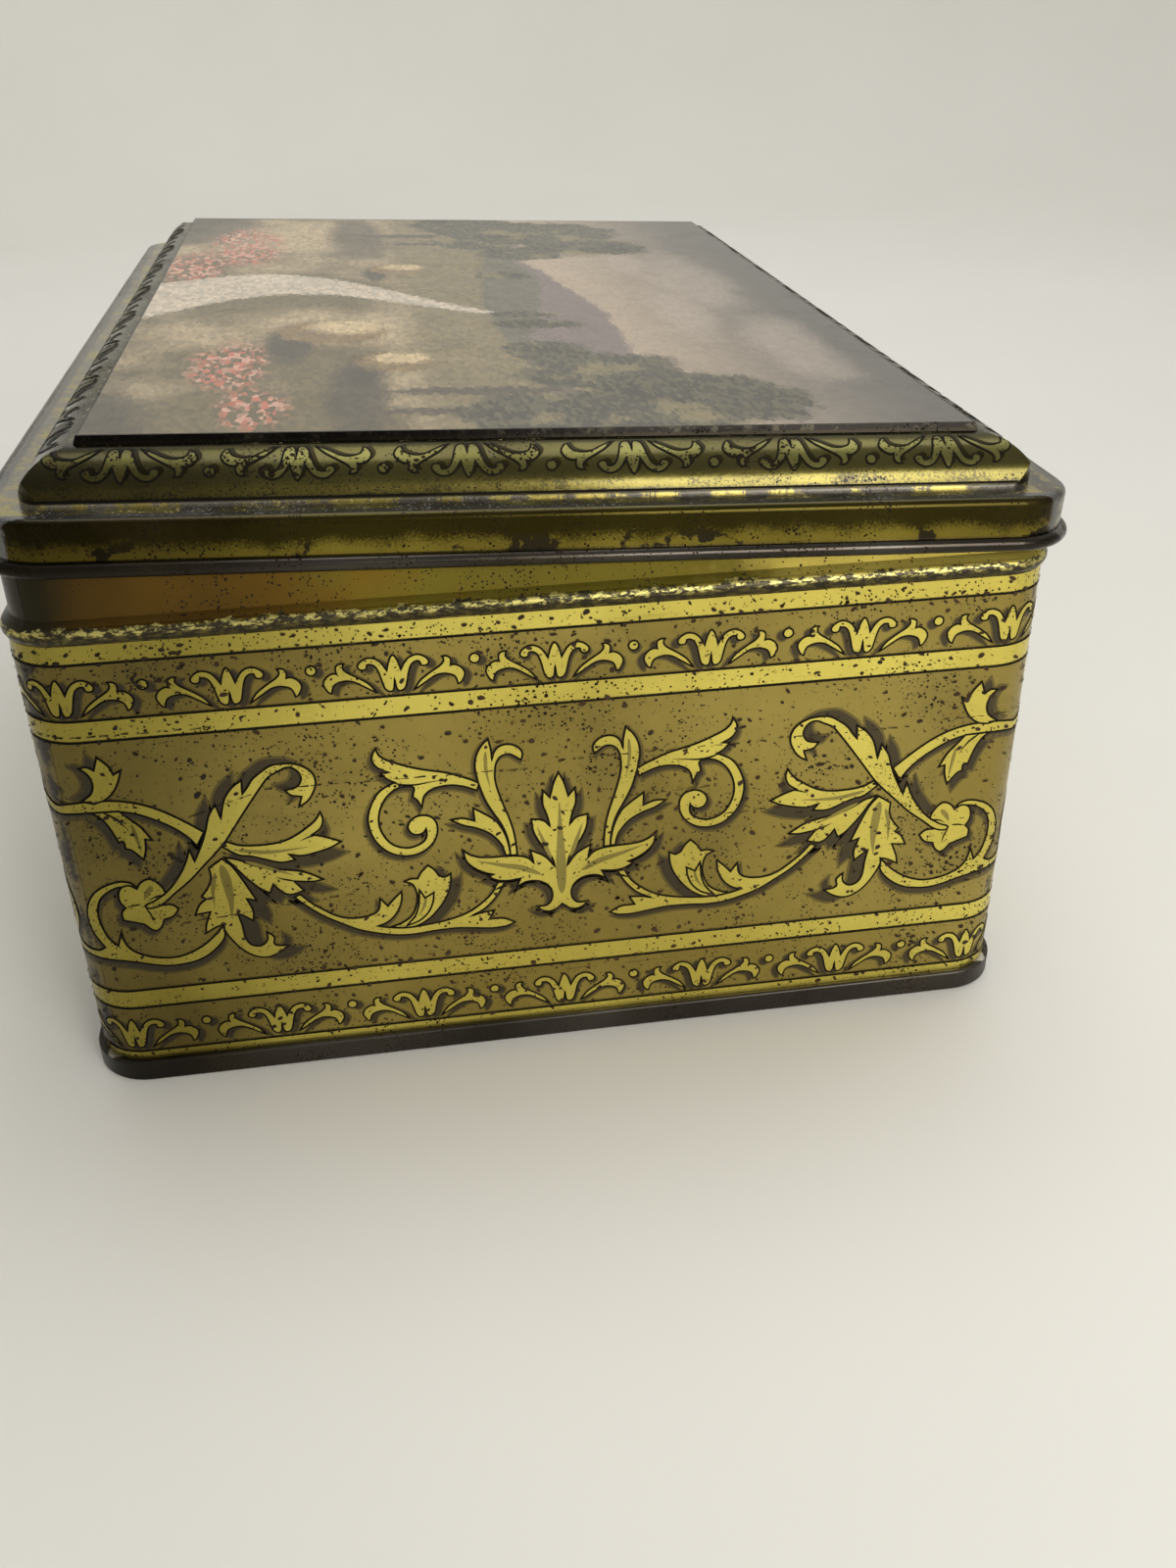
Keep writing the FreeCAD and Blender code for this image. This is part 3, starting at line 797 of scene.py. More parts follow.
    BORDER_PALMETTE = (
        (0, 75.35), (0.5, 74.7), (0.85, 73.7), (1.05, 72.8, 1), (1.4, 73.5), (2, 74.4), (2.8, 74.95),
        (3.8, 75.1),
        (4.7, 74.7), (5.3, 74), (5.2, 73.45), (4.7, 73.2), (4.1, 73.35), (3.9, 74, 1), (3.4, 74.05),
        (2.8, 73.7),
        (2.4, 73), (2.1, 72), (1.8, 70.7), (1.5, 69.8), (0.9, 69.35), (0.35, 69.5), (0.12, 70.3),
        (0, 71.5, 1),
    )
    BORDER_SPRAY = (
        (2.75, 69.25, 1), (3.8, 70.75), (4.9, 71.65), (6.1, 72.45), (7, 73.05), (7.5, 73.65), (7.5, 74.15),
        (7.3, 74.45, 1), (7.9, 74.5), (8.5, 74.15), (8.6, 73.5), (8.5, 72.9, 1), (9, 73), (9.7, 72.75),
        (10.3, 72.2),
        (10.6, 71.4), (10.3, 70.5), (9.9, 69.9), (9.5, 69.75, 1), (9.35, 70.4), (9, 71.1), (8.2, 71.5),
        (7.2, 71.65),
        (6.1, 71.4), (4.9, 70.65), (3.7, 69.85),
    )
    STROKES = (
        Stroke(((26.4, 53.6), (24.8, 52.95), (22.8, 52.75), (20.9, 52.95), (18.5, 53.2)), 0.32),
        Stroke(((38.6, 45.35), (40.2, 45.0), (41.6, 44.4)), 0.3),
        Stroke(((43.2, 37), (44.8, 37.5), (46.2, 38.1)), 0.3),
        Stroke(((70.4, 52.8), (68.6, 51.4), (67.2, 49.3)), 0.32),
        Stroke(((9.2, 32.1), (10.2, 31.8), (11.4, 31.3)), 0.45),
        Stroke(((63.6, 36.8), (65.2, 36.6), (66.4, 35.9)), 0.28),
        Stroke(((67, 34.6), (66.4, 33.2), (66.2, 31.8)), 0.28),
        Stroke(((67.6, 35.4), (69, 35.3), (70, 35)), 0.28),
        Stroke(((54.3, 41.4), (53.9, 38.5), (53.7, 34.5), (54, 31)), 1.5, True),
        Stroke(((55.4, 40), (56.2, 37), (56.4, 33.5)), 0.7, True),
        Stroke(((50.5, 41.6), (47, 39.9), (43.4, 38.2)), 0.7, True),
        Stroke(((51.5, 43.8), (46.5, 42.9), (40.5, 43.2)), 0.7, True),
        Stroke(((3.4, 33.6), (6.5, 35.2), (10, 36.2), (13.8, 37.4)), 1.0, True),
        Stroke(((1.6, 36.6), (2.8, 40), (3.7, 42.8)), 0.7, True),
        Stroke(((66.6, 50.4), (66.2, 47.6), (65.9, 45)), 0.6, True),
        Stroke(((65.4, 38.6), (66.4, 37.4), (67, 36.2)), 0.9, True),
        Stroke(((22.6, 31.2), (23.1, 29.4), (24.2, 27.6)), 0.5, True),
        Stroke(((11.4, 57.6), (11.5, 54.5), (11, 51)), 0.6, True),
    )
    MIDRIB = Stroke(((0, 29.4), (0, 34), (0, 40), (0, 47)), 1.7, True)

    CORNER_LINE = 78.18
    SIDE_LINE = SIZES.quarter - 2 * SIZES.mitre
    WHOLE_REACH = 90.0
    INNER_REACH = 30.0

    @classmethod
    def dot(cls, u: float, z: float, radius: float = 0.8) -> Motif:
        """A round dot."""
        turns = [math.tau * k / 8 for k in range(8)]
        return Motif(tuple((u + radius * math.cos(t), z + radius * math.sin(t)) for t in turns))

    @classmethod
    def centre(cls) -> list[Motif]:
        """The upright palmette of a panel, whose shadow falls outward on both sides."""
        half = Motif(cls.PALMETTE, 0, (1.0, -0.9), False)
        return [half, half.moved(0.0, -1.0), doubled(cls.PALMETTE, 0.0, 1, (0.0, -0.5))]

    @classmethod
    def inner_half(cls) -> list[Motif]:
        """Stem, leaf, volute and tulip beside a palmette."""
        return [
            Motif(cls.VOLUTE, 0, (0.5, -0.7)),
            Motif(cls.STEM, 1, (0.3, -0.3)),
            Motif(cls.SIDE_LEAF, 0, (0.4, -0.9)),
            Motif(cls.TULIP, 1, (-1.6, -0.7)),
            Motif(cls.TULIP_HEART, 2, (0.0, 0.0)),
        ]

    @classmethod
    def outer_half(cls) -> list[Motif]:
        """Sprays, stalk and flower between a palmette and the next corner."""
        return [
            Motif(cls.BRANCH_LEFT + cls.BRANCH_RIGHT + cls.BUD, 0, (0.5, -0.8)),
            Motif(cls.FLOWER, 1, (0.6, -0.8)),
            Motif(cls.STALK, 2, (1.4, 1.0)),
            Motif(cls.UPPER_SPRAY, 1, (-0.6, -2.1)),
            Motif(cls.LOWER_SPRAY, 1, (-1.5, -2.2)),
            Motif(cls.DROP_LEAF, 1, (-2.6, -0.7)),
            Motif(cls.ARCH_TULIP, 1, (1.5, 0.3)),
            Motif(cls.ARCH_LEAF, 1, (0.9, -1.3)),
        ]

    @classmethod
    def corner(cls) -> list[Motif]:
        """What crosses a corner: the tulip arch and the ring branch."""
        return [doubled(cls.ARCH, cls.CORNER_LINE), doubled(cls.RING, cls.CORNER_LINE, 0, (0.0, -1.2))]

    @classmethod
    def side_middle(cls) -> list[Motif]:
        """Draw what joins the two palmettes of a long side.

        Returns:
            A garland and the flower over it.
        """
        line = cls.SIDE_LINE
        half = ((line, 27.8), (33, 28.4), *cls.BUD, *cls.BRANCH_LEFT, (line, 25.9))
        flower = Motif(cls.FLOWER, 1).moved(line - 66.5, 1.0, 3.0)
        return [doubled(half, line, 0), flower]

    @classmethod
    def strokes(cls, reach: float) -> list[Stroke]:
        """The strokes of one half as far out as reach."""
        return [stroke for stroke in cls.STROKES if stroke.points[0][0] < reach]

    @classmethod
    def border(cls, lean: float) -> list[Motif]:
        """Draw one repeat of the border.

        Args:
            lean: which way and how far the shadows lean.

        Returns:
            A palmette, its two sprays and a dot.
        """
        drop = (0.95 * lean, -0.45)
        spray = Motif(cls.BORDER_SPRAY, 0, drop)
        other = Motif(spray.moved(0.0, -1.0).points, 0, drop)
        palmette = Motif(doubled(cls.BORDER_PALMETTE, 0.0).points, 0, drop)
        dot = Motif(cls.dot(12.2, 73.75).points, 0, drop)
        return [palmette, spray, other, dot]


def curve(here: Vector, leave: Vector, after: Vector, reach: Vector, t: float) -> Vector:
    """A point at a share t of the way along the curve between two spots with slopes."""
    first = here * (2 * t ** 3 - 3 * t ** 2 + 1) + leave * (t ** 3 - 2 * t ** 2 + t)
    return first + after * (3 * t ** 2 - 2 * t ** 3) + reach * (t ** 3 - t ** 2)


def smooth(points: Outline, spacing: float) -> list[Point]:
    """Round an outline off between its sharp points.

    Args:
        points: closed outline; a third number marks a sharp point.
        spacing: aim for the distance between points, in millimetres.

    Returns:
        The finer outline.
    """
    count = len(points)
    spots = [Vector(p[:2]) for p in points]
    sharp = [len(p) > 2 for p in points]
    line: list[Point] = []
    for index in range(count):
        here, after = spots[index], spots[(index + 1) % count]
        run = (after - here).length
        before, beyond = spots[index - 1], spots[(index + 2) % count]
        leave = (after - here) if sharp[index] else (after - before).normalized() * run
        reach = (after - here) if sharp[(index + 1) % count] else (beyond - here).normalized() * run
        steps = max(2, round(run / spacing))
        line += [tuple(curve(here, leave, after, reach, k / steps)) for k in range(steps)]
    return line


def bridge(mesh: Mesh, rows: Sequence[Sequence[bmesh.types.BMVert]]) -> None:
    """Join rows of two points with faces."""
    for (low, high), (low_next, high_next) in zip(rows, rows[1:]):
        mesh.faces.new((low, low_next, high_next, high))


@dataclass
class Sketchpad:
    """Collects flat shapes on the strip and makes one mesh for each kind of print."""

    level_lift: float = 0.02
    line_share: float = 0.6
    vein_share: float = 0.3
    fills: list[Shape] = field(default_factory=list)
    shadows: list[Shape] = field(default_factory=list)
    lines: list[Shape] = field(default_factory=list)
    veins: list[tuple[Stroke, float]] = field(default_factory=list)
    strokes: list[tuple[Stroke, float]] = field(default_factory=list)

    def draw(self, motif: Motif, spacing: float = 0.5) -> None:
        """Add a shape with its outline and its drop shadow.

        Args:
            motif: the shape.
            spacing: aim for the distance between points, in millimetres.
        """
        line = smooth(motif.points, spacing)
        lift = Layer.GOLD.value + motif.level * self.level_lift
        if motif.filled:
            self.fills.append((line, lift))
            self.lines.append((line, lift + self.level_lift * self.line_share))
        if motif.drop != (0.0, 0.0):
            shadow = [(u + motif.drop[0], z + motif.drop[1]) for u, z in line]
            self.shadows.append((shadow, Layer.SHADOW.value))

    def mark(self, stroke: Stroke, level: int = 2) -> None:
        """Add a stroke on top of a level.

        Args:
            stroke: the stroke.
            level: the level that it lies on.
        """
        lift = Layer.GOLD.value + level * self.level_lift
        if stroke.vein:
            self.veins.append((stroke, lift + self.level_lift * self.vein_share))
        else:
            self.strokes.append((stroke, lift + self.level_lift * self.line_share))

    def mesh(self, kind: PrintKind, ink: float, halo: float) -> Mesh:
        """Make the mesh of one kind of print.

        Args:
            kind: which kind.
            ink: width of the outlines.
            halo: width of the soft edge round the shadows.

        Returns:
            A flat mesh whose third coordinate is the lift.
        """
        if kind is PrintKind.LINES:
            return self.stroke_mesh(self.strokes, self.line_mesh(self.lines, ink))
        if kind is PrintKind.HALOS:
            return self.line_mesh([(line, Layer.HALO.value) for line, _ in self.shadows], halo)
        return self.fill_mesh(self.fills if kind is PrintKind.FILLS else self.shadows)

    @staticmethod
    def stroke_mesh(strokes: Iterable[tuple[Stroke, float]], mesh: Mesh, steps: int = 5) -> Mesh:
        """Add tapered ribbons along strokes to a mesh.

        Args:
            strokes: strokes with their lifts.
            mesh: what they are added to.
            steps: pieces between two points of a stroke.

        Returns:
            The same mesh.
        """
        for stroke, lift in strokes:
            spots = [Vector(p) for p in stroke.points]
            path = []
            for index, (here, after) in enumerate(zip(spots, spots[1:])):
                leave = (after - spots[max(index - 1, 0)]) / 2
                reach = (spots[min(index + 2, len(spots) - 1)] - here) / 2
                path += [curve(here, leave, after, reach, k / steps) for k in range(steps)]
            path.append(spots[-1])
            rows = []
            for index, spot in enumerate(path):
                along = (path[min(index + 1, len(path) - 1)] - path[max(index - 1, 0)]).normalized()
                share = index / (len(path) - 1)
                half = stroke.width / 2 * max(0.12, math.sin(math.pi * share ** 0.65))
                across = Vector((-along.y, along.x)) * half
                rows.append([mesh.verts.new((*(spot + side * across), lift)) for side in (-1, 1)])
            bridge(mesh, rows)
        return mesh

    @staticmethod
    def fill_mesh(shapes: Iterable[Shape]) -> Mesh:
        """Fill shapes with triangles that face outwards.

        Args:
            shapes: outlines with their lifts.

        Returns:
            The flat mesh.
        """
        mesh = bmesh.new()
        for line, lift in shapes:
            corners = [mesh.verts.new((u, z, lift)) for u, z in line]
            flat = [Vector((u, z, 0.0)) for u, z in line]
            for triangle in tessellate_polygon([flat]):
                a, b, c = (flat[k] for k in triangle)
                area = (b - a).cross(c - a).z
                if abs(area) < 1e-9:
                    continue
                order = triangle if area > 0 else tuple(reversed(triangle))
                face = [corners[k] for k in order]
                if mesh.faces.get(face) is None:
                    mesh.faces.new(face)
        return mesh

    @staticmethod
    def line_mesh(shapes: Iterable[Shape], width: float) -> Mesh:
        """Draw outlines as closed ribbons with mitred corners.

        Args:
            shapes: outlines with their lifts.
            width: width of the ribbons.

        Returns:
            The flat mesh.
        """
        sharpest, longest = 0.3, 2.2
        mesh = bmesh.new()
        for line, lift in shapes:
            spots = [Vector(p) for p in line]
            pairs = []
            for index, spot in enumerate(spots):
                back = (spot - spots[index - 1]).normalized()
                ahead = (spots[(index + 1) % len(spots)] - spot).normalized()
                bisector = back + ahead
                if bisector.length < sharpest:
                    bisector = Vector((-back.y, back.x)) * sharpest + bisector
                along = bisector.normalized()
                stretch = min(1.0 / max(along.dot(ahead), 0.45), longest)
                offset = Vector((-along.y, along.x)) * (width / 2 * stretch)
                pairs.append([mesh.verts.new((*(spot + side * offset), lift)) for side in (-1, 1)])
            bridge(mesh, pairs + pairs[:1])
        return mesh


def strip_rows(mesh: Mesh, lines: Iterable[float]) -> None:
    """Cut a flat mesh along lines of constant u, so that it can bend there.

    Args:
        mesh: the flat mesh.
        lines: where to cut.
    """
    for u in lines:
        parts = mesh.verts[:] + mesh.edges[:] + mesh.faces[:]
        bmesh.ops.bisect_plane(mesh, geom=parts, dist=1e-5, plane_co=(u, 0, 0), plane_no=(1, 0, 0))


def bend_lines(steps: int = 9) -> list[float]:
    """Find the ways round at which the four corners bend.

    Args:
        steps: bends to a corner.

    Returns:
        The ways round.
    """
    lines = []
    for end in (-2 * SIZES.quarter, 0.0, 2 * SIZES.quarter):
        for side in (-1.0, 1.0):
            lines += [end + side * (SIZES.end_straight + SIZES.bend * k / steps) for k in range(steps + 1)]
    return lines


def as_object(mesh: Mesh, name: str, material: Material) -> Piece:
    """Make a linked object.

    Args:
        mesh: its mesh, which is used up.
        name: its name.
        material: its one material.

    Returns:
        The object.
    """
    data = bpy.data.meshes.new(name)
    mesh.to_mesh(data)
    mesh.free()
    data.materials.append(material)
    piece = bpy.data.objects.new(name, data)
    bpy.context.scene.collection.objects.link(piece)
    return piece


def laid_on_wall(mesh: Mesh, name: str, material: Material) -> Piece:
    """Bend a flat strip mesh round the walls.

    Args:
        mesh: the flat mesh, which is used up.
        name: name of the piece.
        material: its material.

    Returns:
        The piece.
    """
    strip_rows(mesh, bend_lines())
    for vertex in mesh.verts:
        vertex.co = on_wall(*vertex.co)
    return as_object(mesh, name, material)


def paint_node(node: Piece, material: Material) -> None:
    """Give a node of the frame one material."""
    for slot in node.material_slots:
        slot.material = material


def join(mesh: Mesh, other: Mesh) -> None:
    """Add another mesh to a mesh.

    Args:
        mesh: what grows.
        other: what is added; it is used up.
    """
    data = bpy.data.meshes.new("joined")
    other.to_mesh(data)
    other.free()
    mesh.from_mesh(data)
    bpy.data.meshes.remove(data)


def evaluated(
    mesh: Mesh, group: bpy.types.NodeTree, sockets: dict[str, str], values: dict[str, Value]
) -> Mesh:
    """Run a geometry node tree on a mesh.

    Args:
        mesh: what goes in; it is used up.
        group: the node tree.
        sockets: identifiers of the tree's inputs by name.
        values: the inputs by name, with Paint among them.

    Returns:
        The resulting plain mesh.
    """
    carrier = as_object(mesh, "carrier", values["Paint"])
    modifier = carrier.modifiers.new("nodes", "NODES")
    modifier.node_group = group
    for name, value in values.items():
        modifier[sockets[name]] = value
    graph = bpy.context.evaluated_depsgraph_get()
    data = bpy.data.meshes.new_from_object(carrier.evaluated_get(graph))
    result = bmesh.new()
    result.from_mesh(data)
    bpy.data.objects.remove(carrier)
    bpy.data.meshes.remove(data)
    return result


class Repeater:
    """Repeats a flat unit along the strip with a node tree of its own."""

    def __init__(self) -> None:
        """Build the node tree."""
        self.group = bpy.data.node_groups.new("repeat_along_strip", "GeometryNodeTree")
        wanted = {"Geometry": "Geometry", "Count": "Int", "Start": "Vector", "Pitch": "Vector"}
        wanted["Paint"] = "Material"
        self.sockets = add_sockets(self.group, wanted, {"Geometry": "Geometry"})
        kit = NodeTree(self.group)
        entry = kit.add("NodeGroupInput").outputs
        row = {"Count": entry["Count"], "Start Location": entry["Start"], "Offset": entry["Pitch"]}
        points = kit.add("GeometryNodeMeshLine", row)
        spread = {"Points": points.outputs["Mesh"], "Instance": entry["Geometry"]}
        copies = kit.add("GeometryNodeInstanceOnPoints", spread)
        real = kit.add("GeometryNodeRealizeInstances", {"Geometry": copies.outputs["Instances"]})
        kit.painted(real.outputs["Geometry"], entry["Paint"])

    def row(self, unit: Mesh, count: int, start: Point, pitch: float, paint: Material) -> Mesh:
        """One flat mesh of a unit repeated from start on; the unit is used up."""
        values = {"Count": count, "Start": (*start, 0.0), "Pitch": (pitch, 0.0, 0.0), "Paint": paint}
        return evaluated(unit, self.group, self.sockets, values)


@dataclass
class RustScatter:
    """Scatters rust specks over a flat mesh with a node tree of its own; lengths in millimetres."""

    seed: int = 11
    creep: float = 5.0
    cluster_scale: float = 0.085
    clusters: Span = (0.36, 0.68)
    everywhere: float = 0.14
    corners: int = 7
    rarity: float = 5.0
    smallest: float = 0.24
    least_shape: Colour = (0.8, 0.45, 1.0)
    most_shape: Colour = (1.5, 0.9, 1.0)
    turn: float = 0.9
    ripple_scale: float = 2.4
    ripple: float = 0.55

    def __post_init__(self) -> None:
        """Build the node tree."""
        self.group = bpy.data.node_groups.new("scatter_rust", "GeometryNodeTree")
        wanted = {"Geometry": "Geometry", "Density": "Float", "Largest": "Float", "Top": "Float"}
        wanted |= {"Seed": "Int", "Paint": "Material"}
        self.sockets = add_sockets(self.group, wanted, {"Geometry": "Geometry"})
        kit = NodeTree(self.group)
        entry = kit.add("NodeGroupInput").outputs
        points = self.points(kit, entry)
        speck = kit.add("GeometryNodeMeshCircle", {"Vertices": self.corners, "Radius": 1.0}, fill_type="NGON")
        chance = self.random(kit, "FLOAT", 3, 0.0, 1.0)
        size = kit.times(kit.plus(kit.math("POWER", chance, self.rarity), self.smallest), entry["Largest"])
        shape = self.random(kit, "FLOAT_VECTOR", 4, self.least_shape, self.most_shape)
        scale = kit.add("ShaderNodeVectorMath", {0: shape, "Scale": size}, operation="SCALE")
        turn = self.random(kit, "FLOAT_VECTOR", 5, (0.0, 0.0, -self.turn), (0.0, 0.0, self.turn))
        copy = {"Points": points, "Instance": speck.outputs["Mesh"], "Rotation": turn}
        copy["Scale"] = scale.outputs[0]
        copies = kit.add("GeometryNodeInstanceOnPoints", copy)
        real = kit.add("GeometryNodeRealizeInstances", {"Geometry": copies.outputs["Instances"]})
        here = kit.add("GeometryNodeInputPosition").outputs[0]
        waves = kit.add("ShaderNodeTexNoise", {"Vector": here, "Scale": self.ripple_scale})
        shift = kit.vectors("SUBTRACT", waves.outputs["Color"], (0.5, 0.5, 0.5))[0]
        flat = kit.vectors("MULTIPLY", shift, (self.ripple, self.ripple, 0.0))[0]
        ragged = kit.add("GeometryNodeSetPosition", {"Geometry": real.outputs[0], "Offset": flat})
        kit.painted(ragged.outputs[0], entry["Paint"])

    def points(self, kit: NodeTree, entry: bpy.types.NodeOutputs) -> Socket:
        """Scatter the points, thicker in clusters and under the top.

        Args:
            kit: the tree being built.
            entry: the tree's inputs.

        Returns:
            The points.
        """
        here = kit.add("GeometryNodeInputPosition").outputs[0]
        clusters = kit.step(kit.noise(here, self.cluster_scale, 4.0, 0.65), *self.clusters)
        under = kit.math("DIVIDE", kit.minus(kit.axes(here)["Y"], entry["Top"]), self.creep)
        creep = kit.math("ADD", under, 1.0, clamp=True)
        density = kit.times(kit.plus(kit.plus(clusters, self.everywhere), creep), entry["Density"])
        spread = {"Mesh": entry["Geometry"], "Density": density, "Seed": entry["Seed"]}
        return kit.add("GeometryNodeDistributePointsOnFaces", spread).outputs["Points"]

    @staticmethod
    def random(kit: NodeTree, kind: str, seed: int, least: Value, most: Value) -> Socket:
        """Draw a random value for each point.

        Args:
            kit: the tree being built.
            kind: data type of the value.
            seed: seed of the draw.
            least: lower bound.
            most: upper bound.

        Returns:
            The value.
        """
        node = kit.add("FunctionNodeRandomValue", {"Seed": seed}, data_type=kind)
        node.inputs["Min"].default_value, node.inputs["Max"].default_value = least, most
        return node.outputs["Value"]

    def over(self, ground: Mesh, density: float, largest: float, top: float, paint: Material) -> Mesh:
        """Scatter specks.

        Args:
            ground: flat mesh to scatter on; it is used up.
            density: most specks to a square millimetre.
            largest: radius of the largest speck.
            top: height from which rust creeps down.
            paint: material of the specks.

        Returns:
            One flat mesh of all specks.
        """
        values = {"Density": density, "Largest": largest, "Top": top, "Seed": self.seed, "Paint": paint}
        return evaluated(ground, self.group, self.sockets, values)


@dataclass
class WallPrint:
    """The print on the walls: stripes, lines, borders and scroll, and the rust on it; in millimetres."""

    finishes: Finishes
    repeater: Repeater
    scatter: RustScatter
    near_pitch: float = 24.4
    near_side: int = 3
    far_count: int = 24
    border_spacing: float = 0.35
    scroll_ink: float = 0.34
    border_ink: float = 0.3
    scroll_halo: float = 0.8
    border_halo: float = 0.5
    stripe_gap: Span = (0.1, 0.15)
    speck_density: float = 0.62
    largest_speck: float = 0.40
    ground_cell: float = 3.5
    ground_margin: float = 0.6
    scratch_seed: int = 5
    scratch_count: int = 34
    near_scratches: tuple[tuple[Point, Point], ...] = (
        ((-58, 50.6), (-47, 54)),
        ((-46, 54.4), (-2, 53.8)),
        ((0, 54.9), (34, 55.1)),
        ((36, 55.4), (58, 55.3)),
        ((62, 56.2), (78, 56)),
        ((-62, 31), (-34, 33.4)),
        ((8, 47), (26, 47.6)),
        ((20, 41.6), (38, 42.4)),
    )

    def __post_init__(self) -> None:
        """Make the inks."""
        self.gold = self.finishes.plain("gold_print", GOLD)
        self.ink = self.finishes.plain("ink_line", INK)
        self.shade = self.finishes.plain("print_shadow", SHADOW)
        self.halo = self.finishes.plain("print_shadow_edge", HALO)
        self.vein = self.finishes.plain("leaf_shading", VEIN)
        self.rust = self.finishes.plain("rust_speck", RUST)

    @staticmethod
    def band_mesh(low: float, high: float, lift: float) -> Mesh:
        """Draw a band of print round the whole strip.

        Args:
            low: its lower edge.
            high: its upper edge.
            lift: its height above the tin.

        Returns:
            The flat mesh.
        """
        mesh = bmesh.new()
        half = 2 * SIZES.quarter
        cuts = sorted(set([-half, half] + [u for u in bend_lines() if abs(u) < half]))
        bridge(mesh, [[mesh.verts.new((u, z, lift)) for z in (low, high)] for u in cuts])
        return mesh

    def bands(self) -> list[Piece]:
        """Make the gold stripes and the thin black lines.

        Returns:
            The pieces.
        """
        foot_gap, bead_gap = self.stripe_gap
        stripes = (
            (BANDS.top_line, SIZES.bead_foot - bead_gap),
            (BANDS.field_top, BANDS.upper_band_foot),
            (BANDS.lower_band_top, BANDS.field_foot),
            (SIZES.rim_height + foot_gap, BANDS.foot_line),
        )
        pieces = []
        for number, (low, high) in enumerate(stripes):
            mesh = self.band_mesh(low, high, Layer.STRIPE.value)
            pieces.append(laid_on_wall(mesh, f"gold_stripe_{number}", self.gold))
        heights = (
            BANDS.top_line,
            BANDS.upper_band_foot,
            BANDS.field_top,
            BANDS.field_foot,
            BANDS.lower_band_top,
            BANDS.foot_line,
        )
        half = BANDS.line_width / 2
        for number, height in enumerate(heights):
            mesh = self.band_mesh(height - half, height + half, Layer.LINE.value)
            pieces.append(laid_on_wall(mesh, f"ink_line_{number}", self.ink))
        return pieces

    def scroll(self) -> Sketchpad:
        """Draw the scroll of all four walls on the strip.

        Returns:
            The drawing.
        """
        pad = Sketchpad()
        inner = Ornament.inner_half()
        whole = inner + Ornament.outer_half()
        all_strokes = Ornament.strokes(Ornament.WHOLE_REACH)
        for end in (0.0, 2 * SIZES.quarter):
            placed = [(m, end, 1.0) for m in Ornament.centre()]
            marks = [(Ornament.MIDRIB, end, 1.0)]
            for side in (-1.0, 1.0):
                placed += [(m, end, side) for m in whole + Ornament.corner()]
                marks += [(s, end, side) for s in all_strokes]
                spot = end + side * 2 * SIZES.mitre
                placed += [(m, spot, 1.0) for m in Ornament.centre()]
                placed += [(m, spot, -side) for m in whole]
                placed += [(m, spot, side) for m in inner]
                marks += [(s, spot, -side) for s in all_strokes]
                marks += [(s, spot, side) for s in Ornament.strokes(Ornament.INNER_REACH)]
                marks.append((Ornament.MIDRIB, spot, 1.0))
                if end == 0.0:
                    placed += [(m, spot, side) for m in Ornament.side_middle()]
            for motif, centre, side in placed:
                pad.draw(motif.moved(centre, side))
            for stroke, centre, side in marks:
                pad.mark(stroke.moved(centre, side))
        return pad

    def runs(self) -> list[tuple[int, float, float, float]]:
        """Work out the rows of border repeats.

        Returns:
            For each row how many, the first place, the pitch and the lean of the shadows.
        """
        near = self.near_pitch
        pitch = (4 * SIZES.quarter - 2 * self.near_side * near) / (self.far_count + 1)
        start = self.near_side * near + pitch
        half = self.far_count // 2
        return [
            (self.near_side, -self.near_side * near, near, 1.0),
            (1, 0.0, near, 0.3),
            (self.near_side, near, near, -1.0),
            (half, start, pitch, -1.0),
            (half, start + half * pitch, pitch, 1.0),
        ]

    def border_unit(self, kind: PrintKind, lean: float) -> Mesh:
        """Make one kind of print of one border repeat.

        Args:
            kind: which kind.
            lean: lean of the shadows.

        Returns:
            The flat mesh.
        """
        pad = Sketchpad()
        for motif in Ornament.border(lean):
            pad.draw(motif, self.border_spacing)
        return pad.mesh(kind, self.border_ink, self.border_halo)

    def ground(self) -> Mesh:
        """Make a fine grid over the whole strip for the rust to lie on.

        Returns:
            The flat mesh.
        """
        mesh = bmesh.new()
        low, high = SIZES.rim_height + self.ground_margin, SIZES.bead_foot - self.ground_margin
        half = 2 * SIZES.quarter
        across, up = round(2 * half / self.ground_cell), round((high - low) / self.ground_cell)
        heights = [low + (high - low) * k / up for k in range(up + 1)]
        rows = []
        for column in range(across + 1):
            u = -half + 2 * half * column / across
            rows.append([mesh.verts.new((u, z, Layer.SPECK.value)) for z in heights])
        for here, after in zip(rows, rows[1:]):
            for k in range(up):
                mesh.faces.new((here[k], after[k], after[k + 1], here[k + 1]))
        return mesh

